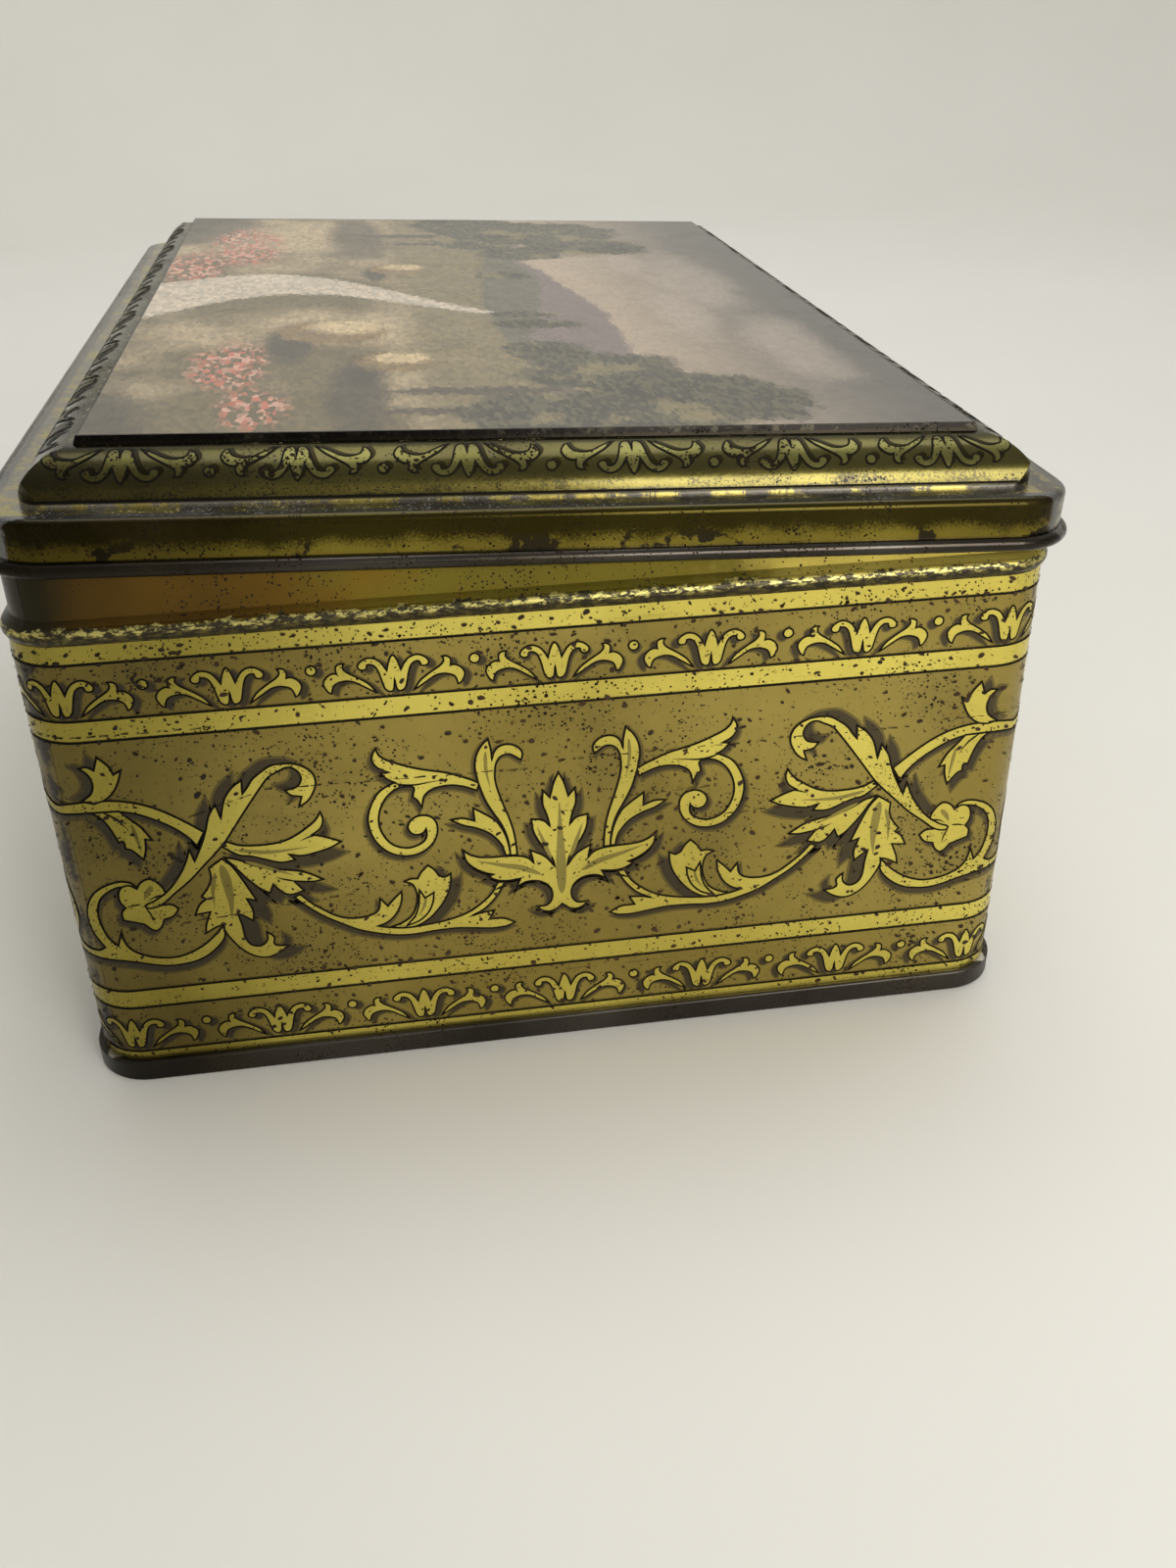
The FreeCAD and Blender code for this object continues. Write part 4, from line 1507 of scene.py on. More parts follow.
    def scratches(self) -> Mesh:
        """Draw long broken scratches over the walls.

        Returns:
            The flat mesh.
        """
        chance = random.Random(self.scratch_seed)
        drawn = list(self.near_scratches)
        for _ in range(self.scratch_count):
            u, z = chance.uniform(90, 4 * SIZES.quarter - 90), chance.uniform(8, 76)
            drawn.append(((u, z), (u + chance.uniform(8, 40), z + chance.uniform(-1.5, 1.5))))
        mesh = bmesh.new()
        for (u0, z0), (u1, z1) in drawn:
            here, length = 0.0, math.hypot(u1 - u0, z1 - z0)
            while here < length:
                dash, half = chance.uniform(0.3, 1.9), chance.uniform(0.05, 0.15)
                ends = []
                for way in (here, min(here + dash, length)):
                    share = way / length
                    rise = chance.uniform(-0.12, 0.12)
                    ends.append((u0 + (u1 - u0) * share, z0 + (z1 - z0) * share + rise))
                (a, b), (c, d) = ends
                corners = ((a, b - half * 0.4), (c, d - half), (c, d + half), (a, b + half * 0.4))
                mesh.faces.new([mesh.verts.new((u, z, Layer.SPECK.value)) for u, z in corners])
                here += dash + chance.uniform(0.1, 1.4)
        return mesh

    def build(self) -> None:
        """Make all the wall print."""
        pieces = self.bands()
        pad = self.scroll()
        paints = dict(zip(PrintKind, (self.gold, self.ink, self.shade, self.halo)))
        for kind, paint in paints.items():
            scroll = pad.mesh(kind, self.scroll_ink, self.scroll_halo)
            pieces.append(laid_on_wall(scroll, f"scroll_{kind.value}", paint))
            for place, rise in (("upper", 0.0), ("lower", -BANDS.band_step)):
                rows = bmesh.new()
                for count, start, pitch, lean in self.runs():
                    unit = self.border_unit(kind, lean)
                    join(rows, self.repeater.row(unit, count, (start, rise), pitch, paint))
                pieces.append(laid_on_wall(rows, f"{place}_border_{kind.value}", paint))
        pieces.append(laid_on_wall(pad.stroke_mesh(pad.veins, bmesh.new()), "scroll_shading", self.vein))
        specks = self.scatter.over(
            self.ground(), self.speck_density, self.largest_speck, SIZES.bead_foot, self.rust
        )
        join(specks, self.scratches())
        pieces.append(laid_on_wall(specks, "rust_specks", self.rust))
        for piece in pieces:
            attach(piece, "body")
            LOG.info("wall print: %s, %d faces", piece.name, len(piece.data.polygons))


@dataclass
class Walls:
    """The wall sheets, their solder, the base and the hinge straps; heights and lengths in millimetres."""

    finishes: Finishes
    fine_sway: float = 1.6
    coarse_sway: float = 2.2
    neck: Span = (82.6, 82.9)
    # The next eight lines colour the neck across the box: olive lacquer with painted reflection, shade and
    # highlight.
    neck_olive: Colour = (0.175, 0.140, 0.012)
    neck_amber_reflection: Colour = (0.20, 0.108, 0.006)
    neck_painted_shade: Colour = (0.045, 0.038, 0.008)
    neck_painted_highlight: Colour = (0.62, 0.505, 0.10)
    neck_sway: float = 60.0
    amber_reflection_from: Span = (-10.0, -45.0)
    front_shade_from: Span = (-66.0, -74.0)
    highlight_from: Span = (15.0, 50.0)
    bead_from: Span = (80.3, 80.6)
    bead_to: Span = (83.2, 83.0)
    bead_shade_line: Span = (81.9, 82.3)
    crest_gold: Colour = (0.52, 0.455, 0.14)
    crest_worn: Colour = (0.04, 0.033, 0.017)
    # Painted shade: the colours of the bead's lower half, below its crest.
    shaded_under_gold: Colour = (0.10, 0.08, 0.022)
    shaded_under_worn: Colour = (0.03, 0.024, 0.013)
    seam_rust: Colour = (0.022, 0.015, 0.008)
    rust_reach: Span = (1.5, 0.4)
    rust_fine: float = 5.0
    rust_coarse: float = 11.0
    unsoldered: float = 2.2
    inside: Span = (4.0, -4.0)
    floor_margin: float = 1.2
    floor_edge: float = 0.3

    def neck_reflection_colour(self, kit: NodeTree, place: bpy.types.NodeOutputs, coarse: Socket) -> Socket:
        """Colour the lacquer of the neck in painted reflection and shade: painted shade along the front, an
        orange-brown reflection towards the front, olive in the middle and a painted highlight of vivid gold
        towards the hinge side.

        Args:
            kit: the material being built.
            place: place on the object.
            coarse: slow noise round 0.

        Returns:
            The colour.
        """
        # Painted reflection and shade: orange-brown towards the front, darkest along the front, vivid gold
        # towards the hinge side.
        sideways = kit.plus(place["Y"], kit.times(coarse, self.neck_sway * MM))
        colour = kit.mix(kit.ramp(sideways, self.amber_reflection_from), self.neck_olive, self.neck_amber_reflection)
        colour = kit.mix(kit.ramp(place["Y"], self.front_shade_from), colour, self.neck_painted_shade)
        return kit.mix(kit.ramp(sideways, self.highlight_from), colour, self.neck_painted_highlight)

    def bead_colour(self, kit: NodeTree, vector: Socket, level: Socket) -> Socket:
        """Colour the bead, where the gold has flaked off; its lower half is painted darker as shade.

        Args:
            kit: the material being built.
            vector: place on the object.
            level: uneven height.

        Returns:
            The colour.
        """
        flat = kit.stretched(vector, (1.0, 1.0, 2.6))
        patchy = kit.step(kit.noise(flat, 520.0, 5.0, 0.75), 0.44, 0.52)
        crest = kit.mix(patchy, self.crest_gold, self.crest_worn)
        # Painted shade: the lower half of the bead is darker than its crest.
        under = kit.mix(patchy, self.shaded_under_gold, self.shaded_under_worn)
        return kit.mix(kit.ramp(level, self.bead_shade_line), under, crest)

    def rust_mask(self, kit: NodeTree, vector: Socket, fine: Socket, coarse: Socket) -> Socket:
        """Draw the rust that creeps out along the upright corners.

        Args:
            kit: the material being built.
            vector: place on the object.
            fine: quick noise round 0.
            coarse: slow noise round 0.

        Returns:
            The mask.
        """
        diagonal = Vector((1, 1)).normalized() * SIZES.corner
        middle = Vector((SIZES.side_straight, SIZES.end_straight)) + diagonal
        spread = kit.vectors("ABSOLUTE", vector, (0.0, 0.0, 0.0))[0]
        flat = kit.vectors("MULTIPLY", spread, (1.0, 1.0, 0.0))[0]
        away = kit.vectors("DISTANCE", flat, (middle.x * MM, middle.y * MM, 0.0))["Value"]
        reach = kit.plus(kit.times(fine, self.rust_fine * MM), kit.times(coarse, self.rust_coarse * MM))
        place = kit.axes(vector)
        whole = kit.step(kit.times(place["X"], place["Y"]), -0.001, 0.001)
        reach = kit.plus(reach, kit.times(whole, self.unsoldered * MM))
        return kit.ramp(kit.plus(away, reach), self.rust_reach)

    def sheet_finish(self) -> Material:
        """Make the finish of the wall sheets.

        Returns:
            Brown-gold lacquer outside with a worn bead whose lower half is painted shade, a gold neck painted
            with reflection, highlight and shade, and rusty seams; uncoated tin inside.
        """
        surface = self.finishes.start("printed_wall", FIELD)
        kit, worn = surface.kit, self.finishes.worn
        place, normal = kit.axes(surface.vector), kit.normal()
        outward = kit.plus(kit.times(place["X"], normal["X"]), kit.times(place["Y"], normal["Y"]))
        fine = kit.swing(surface.vector, 900.0, 4.0, 0.65)
        coarse = kit.swing(surface.vector, 120.0, 4.0, 0.6)
        level = kit.plus(place["Z"], kit.times(fine, self.fine_sway * MM))
        level = kit.plus(level, kit.times(coarse, self.coarse_sway * MM))
        # The neck's colour is painted reflection, highlight and shade across the box.
        neck = worn(surface, GOLD, self.neck_reflection_colour(kit, place, coarse))
        colour = kit.mix(kit.ramp(level, self.neck), worn(surface, FIELD), neck)
        on_bead = kit.times(kit.ramp(level, self.bead_from), kit.ramp(level, self.bead_to))
        colour = kit.mix(on_bead, colour, self.bead_colour(kit, surface.vector, level))
        colour = kit.mix(self.rust_mask(kit, surface.vector, fine, coarse), colour, self.seam_rust)
        colour = kit.mix(kit.ramp(outward, self.inside), colour, worn(surface, BARE_TIN))
        return self.finishes.close(surface, FIELD, colour)

    def base_finish(self) -> Material:
        """Make the finish of the base.

        Returns:
            Tarnished metal on the seam and the underside, with uncoated tin on the floor inside.
        """
        surface = self.finishes.start("tarnished_base", TARNISH)
        kit, worn = surface.kit, self.finishes.worn
        place = kit.axes(surface.vector)
        inside = kit.step(kit.normal()["Z"], 0.3, 0.6)
        for axis, half in (("X", SIZES.half_length), ("Y", SIZES.half_width)):
            reach = half - self.floor_margin
            within = kit.ramp(kit.math("ABSOLUTE", place[axis]), (reach, reach - self.floor_edge))
            inside = kit.times(inside, within)
        colour = kit.mix(inside, worn(surface, TARNISH), worn(surface, BARE_TIN))
        return self.finishes.close(surface, TARNISH, colour)

    def build(self) -> None:
        """Give every body node, and the lid's wire, its finish."""
        looks = {
            self.sheet_finish(): ("body_back_sheet", "body_front_sheet"),
            self.base_finish(): ("base_plate",),
            self.finishes.plain("dull_solder", SOLDER): ("seam_solder_front", "seam_solder_back"),
            self.finishes.plain("tarnished_strap", STRAP): ("hinge_strap_left", "hinge_strap_right"),
            self.finishes.plain("steel_wire", WIRE): ("lid_edge_wire",),
        }
        for material, names in looks.items():
            for name in names:
                paint_node(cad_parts[name], material)
                LOG.info("node: %s gets %s", name, material.name)


@dataclass
class LidPlaces:
    """Where a point lies on the closed lid, in metres, with the noise that frays its regions."""

    along: Socket
    across: Socket
    height: Socket
    inset: Socket
    fine: Socket
    coarse: Socket
    grain: Socket


@dataclass
class Lid:
    """The lid: its pressed shell by regions and the border printed on its moulding; in millimetres."""

    finishes: Finishes
    prints: WallPrint
    border_top: float = 78.4
    end_row: tuple[int, float] = (6, 24.4)
    side_row: tuple[int, float] = (8, 26.0)
    unit_reach: float = 11.6
    lean: float = 0.7
    foot_line: float = 0.75
    foot_line_width: float = 0.32
    corner_cut: float = 4.0
    corner_step: float = 0.8
    nicks: tuple[Stroke, ...] = (
        Stroke(((-25, 77.0), (-20.5, 77.3), (-16, 77.6)), 0.6),
        Stroke(((-17, 77.3), (-11.5, 77.7), (-6, 78.0)), 0.7),
    )
    # The skirt is dark above and gold below: partly rubbed wear, partly painted reflection.
    skirt_sheen_from: Span = (89.9, 87.6)
    skirt_sway: float = 4.2
    skirt_dark_reflection: Colour = (0.034, 0.027, 0.004)
    skirt_gold_wear_and_sheen: Colour = (0.215, 0.172, 0.026)
    skirt_blot: Colour = (0.032, 0.026, 0.014)
    curl: Span = (87.2, 86.9)
    ledge_from: Span = (1.1, 1.5)
    ledge_edge: Span = (2.2, 3.0)
    fine_fray: float = 2.6
    coarse_fray: float = 2.2
    fray_share: float = 0.35
    # Painted reflection: the ledge is paler towards the front.
    ledge_reflection_from: Span = (20.0, -50.0)
    ledge_dark: Colour = (0.125, 0.114, 0.095)
    ledge_pale_reflection: Colour = (0.27, 0.25, 0.215)
    ledge_gold: Colour = (0.42, 0.36, 0.13)
    ledge_rim: Colour = (0.17, 0.165, 0.158)
    moulding_from: Span = (93.1, 93.4)
    moulding_dark: Colour = (0.066, 0.057, 0.013)
    foot_below: Span = (96.6, 94.8)
    foot_above: Span = (93.6, 94.0)
    foot_gold: Colour = (0.115, 0.097, 0.020)
    foot_dark: Colour = (0.03, 0.025, 0.014)
    foot_stain: Colour = (0.045, 0.038, 0.012)
    rubbed_from: Span = (12.4, 12.8)
    rubbed_dark: Colour = (0.034, 0.029, 0.018)
    rubbed_gold: Colour = (0.24, 0.205, 0.09)
    crease_from: Span = (13.10, 13.18)
    crease: Colour = (0.010, 0.008, 0.005)
    step_from: Span = (99.8, 100.1)
    step_dark: Colour = (0.006, 0.005, 0.004)
    step_fleck: Colour = (0.017, 0.015, 0.010)
    panel_from: Span = (13.85, 13.9)
    panel_rim: Colour = (0.016, 0.014, 0.010)
    inside: Span = (-10.0, -20.0)
    inside_lean: float = 60.0
    varnish_from: Span = (92.4, 93.0)
    varnish_to: Span = (99.2, 98.6)
    varnish_facing: Span = (-20.0, 0.0)
    varnish: float = 0.2

    def __post_init__(self) -> None:
        """Make the inks and find the arc of the moulding."""
        self.dull = self.finishes.plain("dull_gold_print", DULL_GOLD)
        self.shade = self.finishes.plain("dull_print_shadow", DULL_SHADOW)
        foot = Vector((-SIZES.foot_inset, SIZES.ledge))
        step = Vector((-SIZES.step_inset, SIZES.step_foot))
        chord = step - foot
        left = Vector((-chord.y, chord.x)).normalized()
        rise = math.sqrt(SIZES.ovolo_radius ** 2 - chord.length ** 2 / 4)
        self.arc_centre = (foot + step) / 2 + left * rise
        start = foot - self.arc_centre
        self.arc_start = math.atan2(start.y, start.x)

    def on_moulding(self, side: LidSide, u: float, v: float, lift: float) -> Vector:
        """Find a point of the rounded moulding.

        Args:
            side: side of the lid.
            u: way along the side from its middle.
            v: way up the moulding from its foot.
            lift: distance off the tin.

        Returns:
            The point at rest, in metres.
        """
        turn = self.arc_start + v / SIZES.ovolo_radius
        reach = SIZES.ovolo_radius + lift
        out = self.arc_centre.x + reach * math.cos(turn)
        z = self.arc_centre.y + reach * math.sin(turn)
        halves = (SIZES.lid_half_width, SIZES.lid_half_length)
        parity = side.value % 2
        radius = max(SIZES.corner + SIZES.lid_overhang + out, 0.0)
        straight = halves[parity] + out - radius
        beyond = min(max(abs(u) - straight, 0.0) / max(radius, 1e-6), math.pi / 4)
        along = math.copysign(min(abs(u), straight) + radius * math.sin(beyond), u)
        outward = halves[1 - parity] + out - radius + radius * math.cos(beyond)
        x, y = ((outward, along), (-along, outward), (-outward, -along), (along, -outward))[side.value]
        return open_lid(Vector((x, y + SIZES.lid_shift, z)))

    def side_print(self, side: LidSide, kind: PrintKind, paint: Material) -> Mesh:
        """Make one kind of print for one side of the moulding.

        Args:
            side: side of the lid.
            kind: which kind.
            paint: its material.

        Returns:
            The mesh in its place.
        """
        count, pitch = (self.end_row, self.side_row)[side.value % 2]
        first = -(count - 1) / 2 * pitch
        unit = self.prints.border_unit(kind, self.lean)
        row = self.prints.repeater.row(unit, count, (first, 0.0), pitch, paint)
        outside = [f for f in row.faces if abs(f.calc_center_median().x) > self.unit_reach - first]
        bmesh.ops.delete(row, geom=outside, context="FACES")
        if kind is PrintKind.LINES:
            join(row, self.foot_ink(side))
            if side is LidSide.FRONT:
                marks = [(nick, Layer.LINE.value) for nick in self.nicks]
                join(row, Sketchpad.stroke_mesh(marks, bmesh.new()))
        for vertex in row.verts:
            u, z, lift = vertex.co
            vertex.co = self.on_moulding(side, u, self.border_top - z, lift)
        bmesh.ops.reverse_faces(row, faces=row.faces[:])
        bmesh.ops.dissolve_degenerate(row, dist=1e-7, edges=row.edges[:])
        return row

    def foot_ink(self, side: LidSide) -> Mesh:
        """Draw the ink line along the foot of the moulding.

        Args:
            side: side of the lid.

        Returns:
            The flat mesh.
        """
        half = (SIZES.lid_half_width, SIZES.lid_half_length)[side.value % 2] - SIZES.foot_inset
        low = self.border_top - self.foot_line - self.foot_line_width / 2
        high = low + self.foot_line_width
        line = bmesh.new()
        corners = ((-half, low), (half, low), (half, high), (-half, high))
        line.faces.new([line.verts.new((u, z, Layer.GOLD.value)) for u, z in corners])
        cuts = [half - self.corner_cut + self.corner_step * k for k in range(5)]
        strip_rows(line, [way * cut for way in (-1, 1) for cut in cuts])
        return line

    def moulding_print(self) -> list[Piece]:
        """Make the inverted palmettes along the moulding and the ink line at its foot.

        Returns:
            One piece for each kind of print.
        """
        pieces = []
        paints = {PrintKind.FILLS: self.dull, PrintKind.LINES: self.prints.ink, PrintKind.SHADOWS: self.shade}
        for kind, paint in paints.items():
            whole = bmesh.new()
            for side in LidSide:
                join(whole, self.side_print(side, kind, paint))
            pieces.append(as_object(whole, f"moulding_{kind.value}", paint))
        return pieces

    @staticmethod
    def places(surface: Surface) -> LidPlaces:
        """Work out where a point lies on the closed lid.

        Args:
            surface: the material being built.

        Returns:
            The place and the noise there.
        """
        kit, vector = surface.kit, surface.vector
        axis = (0.0, SIZES.hinge_y * MM, SIZES.wire_height * MM)
        turn = {"Vector": kit.vectors("SUBTRACT", vector, axis)[0], "Angle": SIZES.ajar}
        place = kit.axes(kit.add("ShaderNodeVectorRotate", turn, rotation_type="X_AXIS").outputs[0])
        across = kit.plus(place["Y"], (SIZES.hinge_y - SIZES.lid_shift) * MM)
        inset_x = kit.minus(SIZES.lid_half_length * MM, kit.math("ABSOLUTE", place["X"]))
        inset_y = kit.minus(SIZES.lid_half_width * MM, kit.math("ABSOLUTE", across))
        return LidPlaces(
            along=place["X"],
            across=across,
            height=kit.plus(place["Z"], SIZES.wire_height * MM),
            inset=kit.math("MINIMUM", inset_x, inset_y),
            fine=kit.swing(vector, 1100.0, 4.0, 0.7),
            coarse=kit.swing(vector, 110.0, 4.0, 0.6),
            grain=kit.swing(vector, 2600.0, 3.0, 0.7),
        )

    def skirt_colour(self, surface: Surface, at: LidPlaces) -> Socket:
        """Colour the skirt, dark above and gold below, partly rubbed wear and partly painted reflection, down
        to the tarnished curl.

        Args:
            surface: the material being built.
            at: place on the lid.

        Returns:
            The colour.
        """
        kit, worn = surface.kit, self.finishes.worn
        blots = kit.step(kit.noise(surface.vector, 150.0, 4.0, 0.65), 0.56, 0.60)
        # Painted reflection and wear: dark above, gold with blots below.
        sheen_gold = kit.mix(blots, self.skirt_gold_wear_and_sheen, self.skirt_blot)
        frayed = kit.plus(at.height, kit.times(kit.plus(at.grain, at.coarse), self.skirt_sway * MM))
        colour = worn(surface, LACQUER, kit.mix(kit.ramp(frayed, self.skirt_sheen_from), self.skirt_dark_reflection, sheen_gold))
        return kit.mix(kit.ramp(at.height, self.curl), colour, worn(surface, TARNISH))

    def ledge_colour(self, surface: Surface, at: LidPlaces, inset: Socket) -> Socket:
        """Colour the ledge: rubbed tin with what is left of the gold, paler towards the front as painted
        reflection.

        Args:
            surface: the material being built.
            at: place on the lid.
            inset: uneven distance from the skirt.

        Returns:
            The colour.
        """
        kit = surface.kit
        left_over = kit.plus(kit.noise(surface.vector, 130.0, 6.0, 0.72), kit.times(at.grain, 0.25))
        # Painted reflection: the tin is paler towards the front.
        tin = kit.mix(kit.ramp(at.across, self.ledge_reflection_from), self.ledge_dark, self.ledge_pale_reflection)
        ledge = kit.mix(kit.step(left_over, 0.49, 0.55), tin, self.ledge_gold)
        return kit.mix(kit.ramp(inset, self.ledge_edge), self.ledge_rim, ledge)

    def moulding_colour(self, surface: Surface, at: LidPlaces) -> Socket:
        """Colour the moulding, dark above and stained gold at its foot.

        Args:
            surface: the material being built.
            at: place on the lid.

        Returns:
            The colour.
        """
        kit = surface.kit
        low = kit.ramp(kit.plus(at.height, kit.times(kit.plus(at.grain, at.fine), 1.2 * MM)), self.foot_below)
        stain = kit.plus(at.grain, at.coarse)
        creeping = kit.plus(at.height, kit.times(stain, 2.4 * MM))
        foot = kit.mix(kit.ramp(creeping, self.foot_above), self.foot_dark, self.foot_gold)
        foot = kit.mix(kit.step(stain, 0.06, 0.10), foot, self.foot_stain)
        return self.finishes.worn(surface, LACQUER, kit.mix(low, self.moulding_dark, foot))

    def shell_finish(self) -> Material:
        """Make the finish of the pressed lid.

        Returns:
            A material by region: curl, skirt, ledge, moulding, step, panel and inside.
        """
        surface = self.finishes.start("printed_lid", LACQUER)
        kit, at = surface.kit, self.places(surface)
        fray = kit.plus(kit.times(at.fine, self.fine_fray * MM), kit.times(at.coarse, self.coarse_fray * MM))
        inset = kit.plus(at.inset, kit.times(fray, self.fray_share))
        colour = self.skirt_colour(surface, at)
        colour = kit.mix(kit.ramp(inset, self.ledge_from), colour, self.ledge_colour(surface, at, inset))
        colour = kit.mix(kit.ramp(at.height, self.moulding_from), colour, self.moulding_colour(surface, at))
        flecks = kit.step(kit.noise(surface.vector, 420.0, 5.0, 0.75), 0.53, 0.58)
        rubbed = kit.mix(flecks, self.rubbed_dark, self.rubbed_gold)
        colour = kit.mix(kit.ramp(inset, self.rubbed_from), colour, rubbed)
        colour = kit.mix(kit.ramp(at.inset, self.crease_from), colour, self.crease)
        step = kit.mix(flecks, self.step_dark, self.step_fleck)
        colour = kit.mix(kit.ramp(at.height, self.step_from), colour, step)
        colour = kit.mix(kit.ramp(at.inset, self.panel_from), colour, self.panel_rim)
        normal = kit.normal()
        facing = kit.plus(kit.times(at.along, normal["X"]), kit.times(at.across, normal["Y"]))
        facing = kit.plus(facing, kit.times(normal["Z"], self.inside_lean * MM))
        inner = kit.times(kit.ramp(facing, self.inside), kit.ramp(at.height, self.curl[::-1]))
        colour = kit.mix(inner, colour, self.finishes.worn(surface, BARE_TIN))
        varnish = kit.times(kit.ramp(at.height, self.varnish_from), kit.ramp(at.height, self.varnish_to))
        varnish = kit.times(varnish, kit.ramp(facing, self.varnish_facing))
        kit.feed(surface.shader.inputs["Coat Weight"], kit.times(varnish, self.varnish))
        return self.finishes.close(surface, LACQUER, colour)

    def build(self) -> None:
        """Paint the lid and lay its border on it."""
        paint_node(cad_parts["lid_shell"], self.shell_finish())
        for piece in self.moulding_print():
            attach(piece, "lid")
            LOG.info("lid print: %s, %d faces", piece.name, len(piece.data.polygons))


@dataclass(frozen=True)
class Blob:
    """A soft round mass in the lid picture, in millimetres from its middle."""

    x: float
    y: float
    wide: float
    tall: float

    def beside(self, aside: float, up: float, wide: float, tall: float) -> "Blob":
        """Another mass beside this one, in shares of its size."""
        return Blob(self.x + self.wide * aside, self.y + self.tall * up, self.wide * wide, self.tall * tall)


@dataclass(frozen=True)
class Ridge:
    """A line of hills in the lid picture: its rise and sway in millimetres, its waves and two colours."""

    rise: float
    sway: float
    waves: float
    shift: float
    dark: Colour
    light: Colour


@dataclass
class Canvas:
    """The lid picture while it is painted: where a dab lies, its tints and the noise there."""

    kit: NodeTree
    spot: Socket
    place: bpy.types.NodeOutputs
    tint: bpy.types.NodeOutputs
    close: Socket
    ripple: Socket
    up: Socket


@dataclass
class LidPicture:
    """A plain country landscape in dabs of paint under old varnish, its foot at the front."""

    finishes: Finishes
    edge: float = 0.35
    lift: float = 0.012
    cells: tuple[int, int] = (20, 14)
    dab_scale: float = 520.0
    dab_shape: float = 2.4
    trees: tuple[Blob, ...] = (
        Blob(-78, 24, 21, 19), Blob(-61, 31, 17, 15), Blob(-90, 6, 16, 15), Blob(-70, 6, 15, 13),
        Blob(-49, 15, 9, 10),
        Blob(70, 16, 15, 14), Blob(86, 26, 19, 20), Blob(95, 3, 13, 15), Blob(52, 8, 7, 8), Blob(30, 9, 4, 9),
        Blob(21, 8, 3.2, 7), Blob(-20, 7, 5, 6),
    )
    trunks: tuple[Blob, ...] = (
        Blob(-74, -8, 2.6, 16), Blob(-62, -4, 1.8, 14), Blob(80, -6, 2.4, 15), Blob(92, -14, 1.6, 10),
    )
    clouds: tuple[Blob, ...] = (
        Blob(-14, 48, 30, 8), Blob(18, 40, 22, 6), Blob(-36, 38, 14, 5), Blob(50, 54, 24, 7),
    )
    shade: tuple[Blob, ...] = (
        Blob(-72, -24, 34, 7), Blob(84, -26, 24, 5), Blob(-95, -62, 38, 15), Blob(100, -66, 26, 9),
    )
    ricks: tuple[Blob, ...] = (Blob(36, -30, 10, 10), Blob(60, -20, 7, 7), Blob(-28, -16, 6, 6.5))
    blooms: tuple[Blob, ...] = (
        Blob(-58, -50, 26, 8), Blob(-30, -60, 18, 6), Blob(62, -47, 17, 6), Blob(88, -42, 12, 5),
    )
    ridges: tuple[Ridge, ...] = (
        Ridge(17.0, 7.0, 30.0, 0.6, (0.15, 0.112, 0.108), (0.21, 0.16, 0.14)),
        Ridge(10.0, 4.0, 47.0, 2.2, (0.085, 0.082, 0.052), (0.15, 0.125, 0.078)),
        Ridge(3.0, 3.0, 36.0, 4.1, (0.135, 0.108, 0.045), (0.27, 0.21, 0.105)),
    )
    sky: Span = (12.0, 66.0)
    meadow: Span = (-12.0, -20.0)
    lane_top: Span = (4.0, 0.0)
    lane_edge: Span = (-1.0, 1.2)

    @staticmethod
    def masses(canvas: Canvas, blobs: Sequence[Blob], ripple: Socket, soft: float) -> Socket:
        """Draw a group of soft masses with rippled edges.

        Args:
            canvas: the picture being painted.
            blobs: the masses.
            ripple: how far the edges stray, as a share.
            soft: softness of the edges, as a share.

        Returns:
            The mask.
        """
        kit = canvas.kit
        nearest = None
        for blob in blobs:
            scale = (1.0 / (blob.wide * MM), 1.0 / (blob.tall * MM), 0.0)
            shift = (-blob.x / blob.wide, -blob.y / blob.tall, 0.0)
            inside = kit.add("ShaderNodeMapping", {"Vector": canvas.spot, "Location": shift, "Scale": scale})
            away = kit.vectors("LENGTH", inside.outputs[0], (0.0, 0.0, 0.0))["Value"]
            nearest = away if nearest is None else kit.math("MINIMUM", nearest, away)
        return kit.step(kit.plus(nearest, ripple), 1.0 + soft, 1.0 - soft)

    def canvas(self, surface: Surface) -> Canvas:
        """Lay the dabs out.

        Args:
            surface: the material being built.

        Returns:
            The empty canvas.
        """
        kit = surface.kit
        long = kit.stretched(surface.vector, (1.0, self.dab_shape, 1.0))
        dabs = kit.add("ShaderNodeTexVoronoi", {"Vector": long, "Scale": self.dab_scale}).outputs
        spot = kit.stretched(dabs["Position"], (1.0, 1.0 / self.dab_shape, 1.0))
        place = kit.axes(spot)
        tint = kit.add("ShaderNodeSeparateColor", {"Color": dabs["Color"]}).outputs
        close = kit.noise(spot, 95.0, 3.0, 0.6)
        swing = kit.minus(close, 0.5)
        up = kit.plus(place["Y"], kit.times(swing, 6.0 * MM))
        return Canvas(kit, spot, place, tint, close, kit.times(swing, 1.1), up)

    def distance(self, canvas: Canvas) -> Socket:
        """Paint the sky, its clouds and the hills.

        Args:
            canvas: the picture being painted.

        Returns:
            The colour.
        """
        kit = canvas.kit
        colour = kit.mix(kit.ramp(canvas.up, self.sky), (0.46, 0.35, 0.245), (0.085, 0.076, 0.064))
        clouds = self.masses(canvas, self.clouds, canvas.ripple, 0.5)
        colour = kit.mix(kit.times(clouds, 0.55), colour, (0.42, 0.34, 0.27))
        for ridge in self.ridges:
            wave = kit.math("SINE", kit.plus(kit.times(canvas.place["X"], ridge.waves), ridge.shift))
            crest = kit.plus(kit.times(wave, ridge.sway * MM), ridge.rise * MM)
            hill = kit.ramp(kit.minus(canvas.up, crest), (1.2, -0.6))
            colour = kit.mix(hill, colour, kit.mix(canvas.close, ridge.dark, ridge.light))
        return colour

